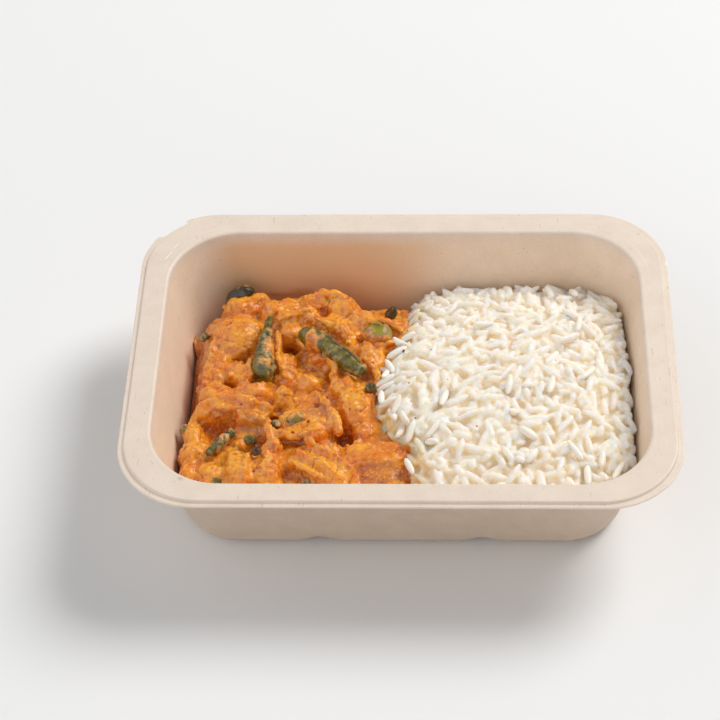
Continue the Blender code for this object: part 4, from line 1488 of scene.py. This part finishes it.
BEANS = {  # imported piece: (path, radii, share under sauce, depth of the split, paleness)
    "bean_long": ([(-42.5, 26.5, 30.2), (-38.5, 24.8, 31.8), (-33.5, 21, 32.8), (-28.5, 16, 33),
                   (-22, 10.4, 32.2), (-15, 5.6, 29.8)], (2.6, 3.9, 4.0, 3.9, 3.9, 2.6),
                  0.30, 0.4, 0.3),
    "bean_upright": ([(-54.6, 36.5, 31.3), (-55.6, 27, 32), (-56, 17, 31.8), (-56, 8.5, 31),
                      (-54.8, 2.8, 29.4)], (1.2, 2.0, 3.3, 4.4, 3.2), 0.24, 0.0, 0.15),
    "bean_pod": ([(-16.5, 31.3, 27.2), (-10.3, 29, 28.4), (-4.6, 30.2, 27.4)], (2.8, 5.0, 2.8),
                 0.12, 0.5, 1.0),
    "bean_stub_back": ([(-73, 51.5, 20), (-70.5, 54, 25.4), (-66, 55, 26.6), (-63, 54, 25.4)],
                       (2.6, 3.4, 3.3, 2.2), -0.15, 0.0, -1.5),
    "bean_tip_back": ([(-6.2, 43, 24), (-4.5, 43, 28), (-3.6, 42.6, 30.6)], (2.6, 2.0, 0.9),
                      -0.1, 0.0, -1.5),
    "bean_bit_right": ([(-13.5, -1, 26), (-12.5, 2.5, 27.5)], 1.8, 0.3, 0.0, -0.3),
    "bean_end_middle": ([(-49.8, -20.5, 27.5), (-49, -20.4, 30.4)], (2.2, 1.9), 0.15, 0.0, 0.2),
    "bean_cut_middle": ([(-45, -20.5, 28.6), (-41.5, -19, 30), (-37.5, -17.2, 29.6)],
                        (2.2, 2.6, 2.1), 0.5, 0.0, 0.5),
    "bean_strip_left": ([(-76, -35.2, 26.9), (-71.5, -30.6, 28.4), (-65.5, -24.5, 29.0)],
                        (1.4, 2.1, 1.7), 0.36, 0.0, -0.2),
    "bean_dark_left": ([(-61.4, -27.6, 28), (-56.8, -29.8, 28.5)], (2.2, 2.0), 0.15, 0.0, -0.5),
    "bean_sliver_front": ([(-38.5, -47, 24.9), (-34, -47.5, 25.2)], (1.8, 1.6), 0.2, 0.0, 0.2),
    "bean_sliver_left": ([(-73, -46, 24.4), (-69.5, -47.5, 24.6)], 1.5, 0.3, 0.0, 0.2),
    "bean_edge_left": ([(-86.3, -18, 22), (-85.6, -20.5, 25)], 2.0, 0.35, 0.0, 0.4),
}
# Each patch is (place along, width along, direction round in degrees, its width, amount).
SAUCE_PATCHES = {
    "bean_long": [(0.0, 0.14, 90, 200, -1.6), (0.30, 0.09, 0, 50, 2.0), (0.24, 0.05, 60, 30, 0.8),
                  (0.62, 0.05, 150, 60, 0.7), (0.75, 0.3, 60, 90, -0.5)],
    "bean_upright": [(0.6, 0.5, 0, 60, -2.0), (0.5, 0.3, 150, 60, 0.9),
                     (0.1, 0.25, 90, 200, -0.9)],
    "bean_pod": [(0.5, 0.6, 25, 14, 2.0), (0.0, 0.12, 60, 200, 1.2)],
    "bean_cut_middle": [(0.9, 0.3, 90, 200, 0.9)],
}


def bean_finish():
    """Green bean that was cooked in the sauce: olive, darker in places, wet."""
    finish, shader = new_finish("green_bean", 0.25, Subsurface_Weight=0.15, Subsurface_Scale=MM,
                                Subsurface_Radius=(1.2, 1.2, 0.4), Coat_Weight=1.0,
                                Coat_Roughness=0.06, Coat_IOR=1.7, Specular_IOR_Level=0.1)
    dark, olive, pale = (0.040, 0.036, 0.005), (0.165, 0.135, 0.010), (0.38, 0.31, 0.008)
    blotches = between(finish, mottle(finish, 3.0, 3.0), 0.38, 0.62)
    green = blend_colours(finish, blotches, dark, olive)
    paleness = known(finish, "pale")
    green = blend_colours(finish, between(finish, paleness, 0.0, 1.0), green, pale)
    darkness = between(finish, paleness, 0.0, -1.0)
    green = blend_colours(finish, darkness, green, (0.040, 0.028, 0.004))
    # Dark along the split of the pod: painted shade in the groove.
    green = blend_colours(finish, known(finish, "split"), green, (0.05, 0.03, 0.01))
    film = blend_colours(finish, between(finish, mottle(finish, 2.0, 2.0), 0.4, 0.65),
                         (0.90, 0.37, 0.065), (0.60, 0.19, 0.03))
    coated = known(finish, "coated")
    thin = blend_colours(finish, between(finish, coated, 0.0, 0.45), green, (0.36, 0.26, 0.10))
    tint = blend_colours(finish, between(finish, coated, 0.55, 0.85), thin, film)
    join_to(finish, tint, shader.inputs["Base Color"])
    add_bump(finish, shader, mottle(finish, 0.7, 3.0), 0.2, 0.6)
    add_ripple(finish, shader, mottle(finish, 2.6, 2.0))
    return finish


bean_green = bean_finish()
for seed, (node, (path, radii, coated, seam, pale)) in enumerate(BEANS.items()):
    points, faces, mask, split = bean_mesh(path, radii, coated, seam, seed * 7 + 3,
                                           SAUCE_PATCHES.get(node, []))
    whitish = np.full(len(points), pale) * (0.75 + 0.5 * noise_at(points, 5.0, seed))
    bean = make_piece(node + "_wet", points, faces, bean_green,
                      {"coated": mask, "split": split, "pale": np.clip(whitish, -1, 1)})
    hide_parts(node)

# %% [markdown]
# One dark seed of spice sits in a dimple near the front. It is a small ball, slightly squashed.

# %% The spice seed
seed_points, seed_faces = lump((-56.2, -36.2, 30.2), (2.0, 1.7, 1.7), 20, 2.0, 24, 16)
seed_points = seed_points + 0.12 * noise_at(seed_points, 1.2, 77)[:, None]
spice_finish, spice_shader = new_finish("spice", 0.22, Coat_Weight=0.5, Coat_Roughness=0.06)
spice_mottle = between(spice_finish, mottle(spice_finish, 1.2, 2.0), 0.4, 0.6)
spice_tint = blend_colours(spice_finish, spice_mottle, (0.050, 0.022, 0.008), (0.14, 0.060, 0.022))
join_to(spice_finish, spice_tint, spice_shader.inputs["Base Color"])
spice_seed = make_piece("spice_seed", seed_points, seed_faces, spice_finish)
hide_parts("spice_bean")

# %% [markdown]
# ## Small bits
# A cook leaves traces: flecks of chilli on the sauce, crumbs of fried spice on the rice next to
# it, and a scrap of bean skin against the wall. Each is a rough pebble a millimetre or so across.
# A ray from above finds the surface under it, so that it lies on the food and doesn't float.

# %% Scatter the bits
def tree_of(piece):
    """A piece's faces, sorted so that rays find them fast."""
    return BVHTree.FromPolygons([vertex.co.copy() for vertex in piece.data.vertices],
                                [face.vertices[:] for face in piece.data.polygons])


BITS = {  # kind: (what it lies on, colour, [(x, y, radius)]), in millimetres
    "chilli_flecks": (tree_of(curry), (0.50, 0.020, 0.006), [
        (-67.8, -27.5, 0.9), (-36.6, -20.6, 0.9), (-42.4, -26.2, 0.8), (-63.5, -12.5, 0.6),
        (-20.5, -13.5, 0.7), (-47.2, -31.0, 0.6), (-29.6, -9.2, 0.8), (-70.5, 33.0, 0.6),
        (-12.0, 12.5, 0.7), (-75.0, 2.0, 0.6), (-57.0, -44.0, 0.6), (-33.0, 27.0, 0.6)]),
    "spice_crumbs": (tree_of(rice_heap), (0.17, 0.045, 0.010), [
        (-1.8, 18.4, 0.9), (0.4, 15.6, 0.75), (-0.2, 17.4, 0.5), (1.6, 33.5, 0.35),
        (11.5, 14.0, 0.35), (18.2, -4.0, 0.3), (2.8, -4.5, 0.35), (30.5, 22.0, 0.3),
        (29.5, -28.2, 0.45), (47.0, -18.0, 0.3), (5.5, -22.0, 0.45), (61.0, 6.0, 0.3)]),
}


def pebble(place, radius, seed):
    """An uneven little lump around a place."""
    points, faces = lump((0, 0, 0), (radius, radius * 0.75, radius * 0.6), seed * 77, 2.0, 10, 7)
    points = points * (1 + 0.35 * noise_at(points, radius * 0.9, seed))[:, None]
    return points + np.array(place), faces


for kind, (tree, colour, places) in BITS.items():
    bits = []
    for seed, (x, y, radius) in enumerate(places):
        place, _, _, _ = tree.ray_cast(Vector((x, y, 60)) * MM, Vector((0, 0, -1)))
        if place is not None:
            bits.append(pebble(np.array(place) / MM, radius, seed))
    finish, shader = new_finish(kind, 0.4)
    shader.inputs["Base Color"].default_value = (*colour, 1.0)
    points, faces = joined(bits)
    make_piece(kind, points, faces, finish)

SCRAP_ENDS = [(-83.2, 28.6, 25.0), (-80.6, 31.2, 26.6)]
scrap, scrap_faces, mask, split = bean_mesh(SCRAP_ENDS, 1.4, 0.2, 0.0, 61, [])
make_piece("skin_scrap", scrap, scrap_faces, bean_green,
           {"coated": mask, "split": split, "pale": np.full(len(scrap), -0.3)})
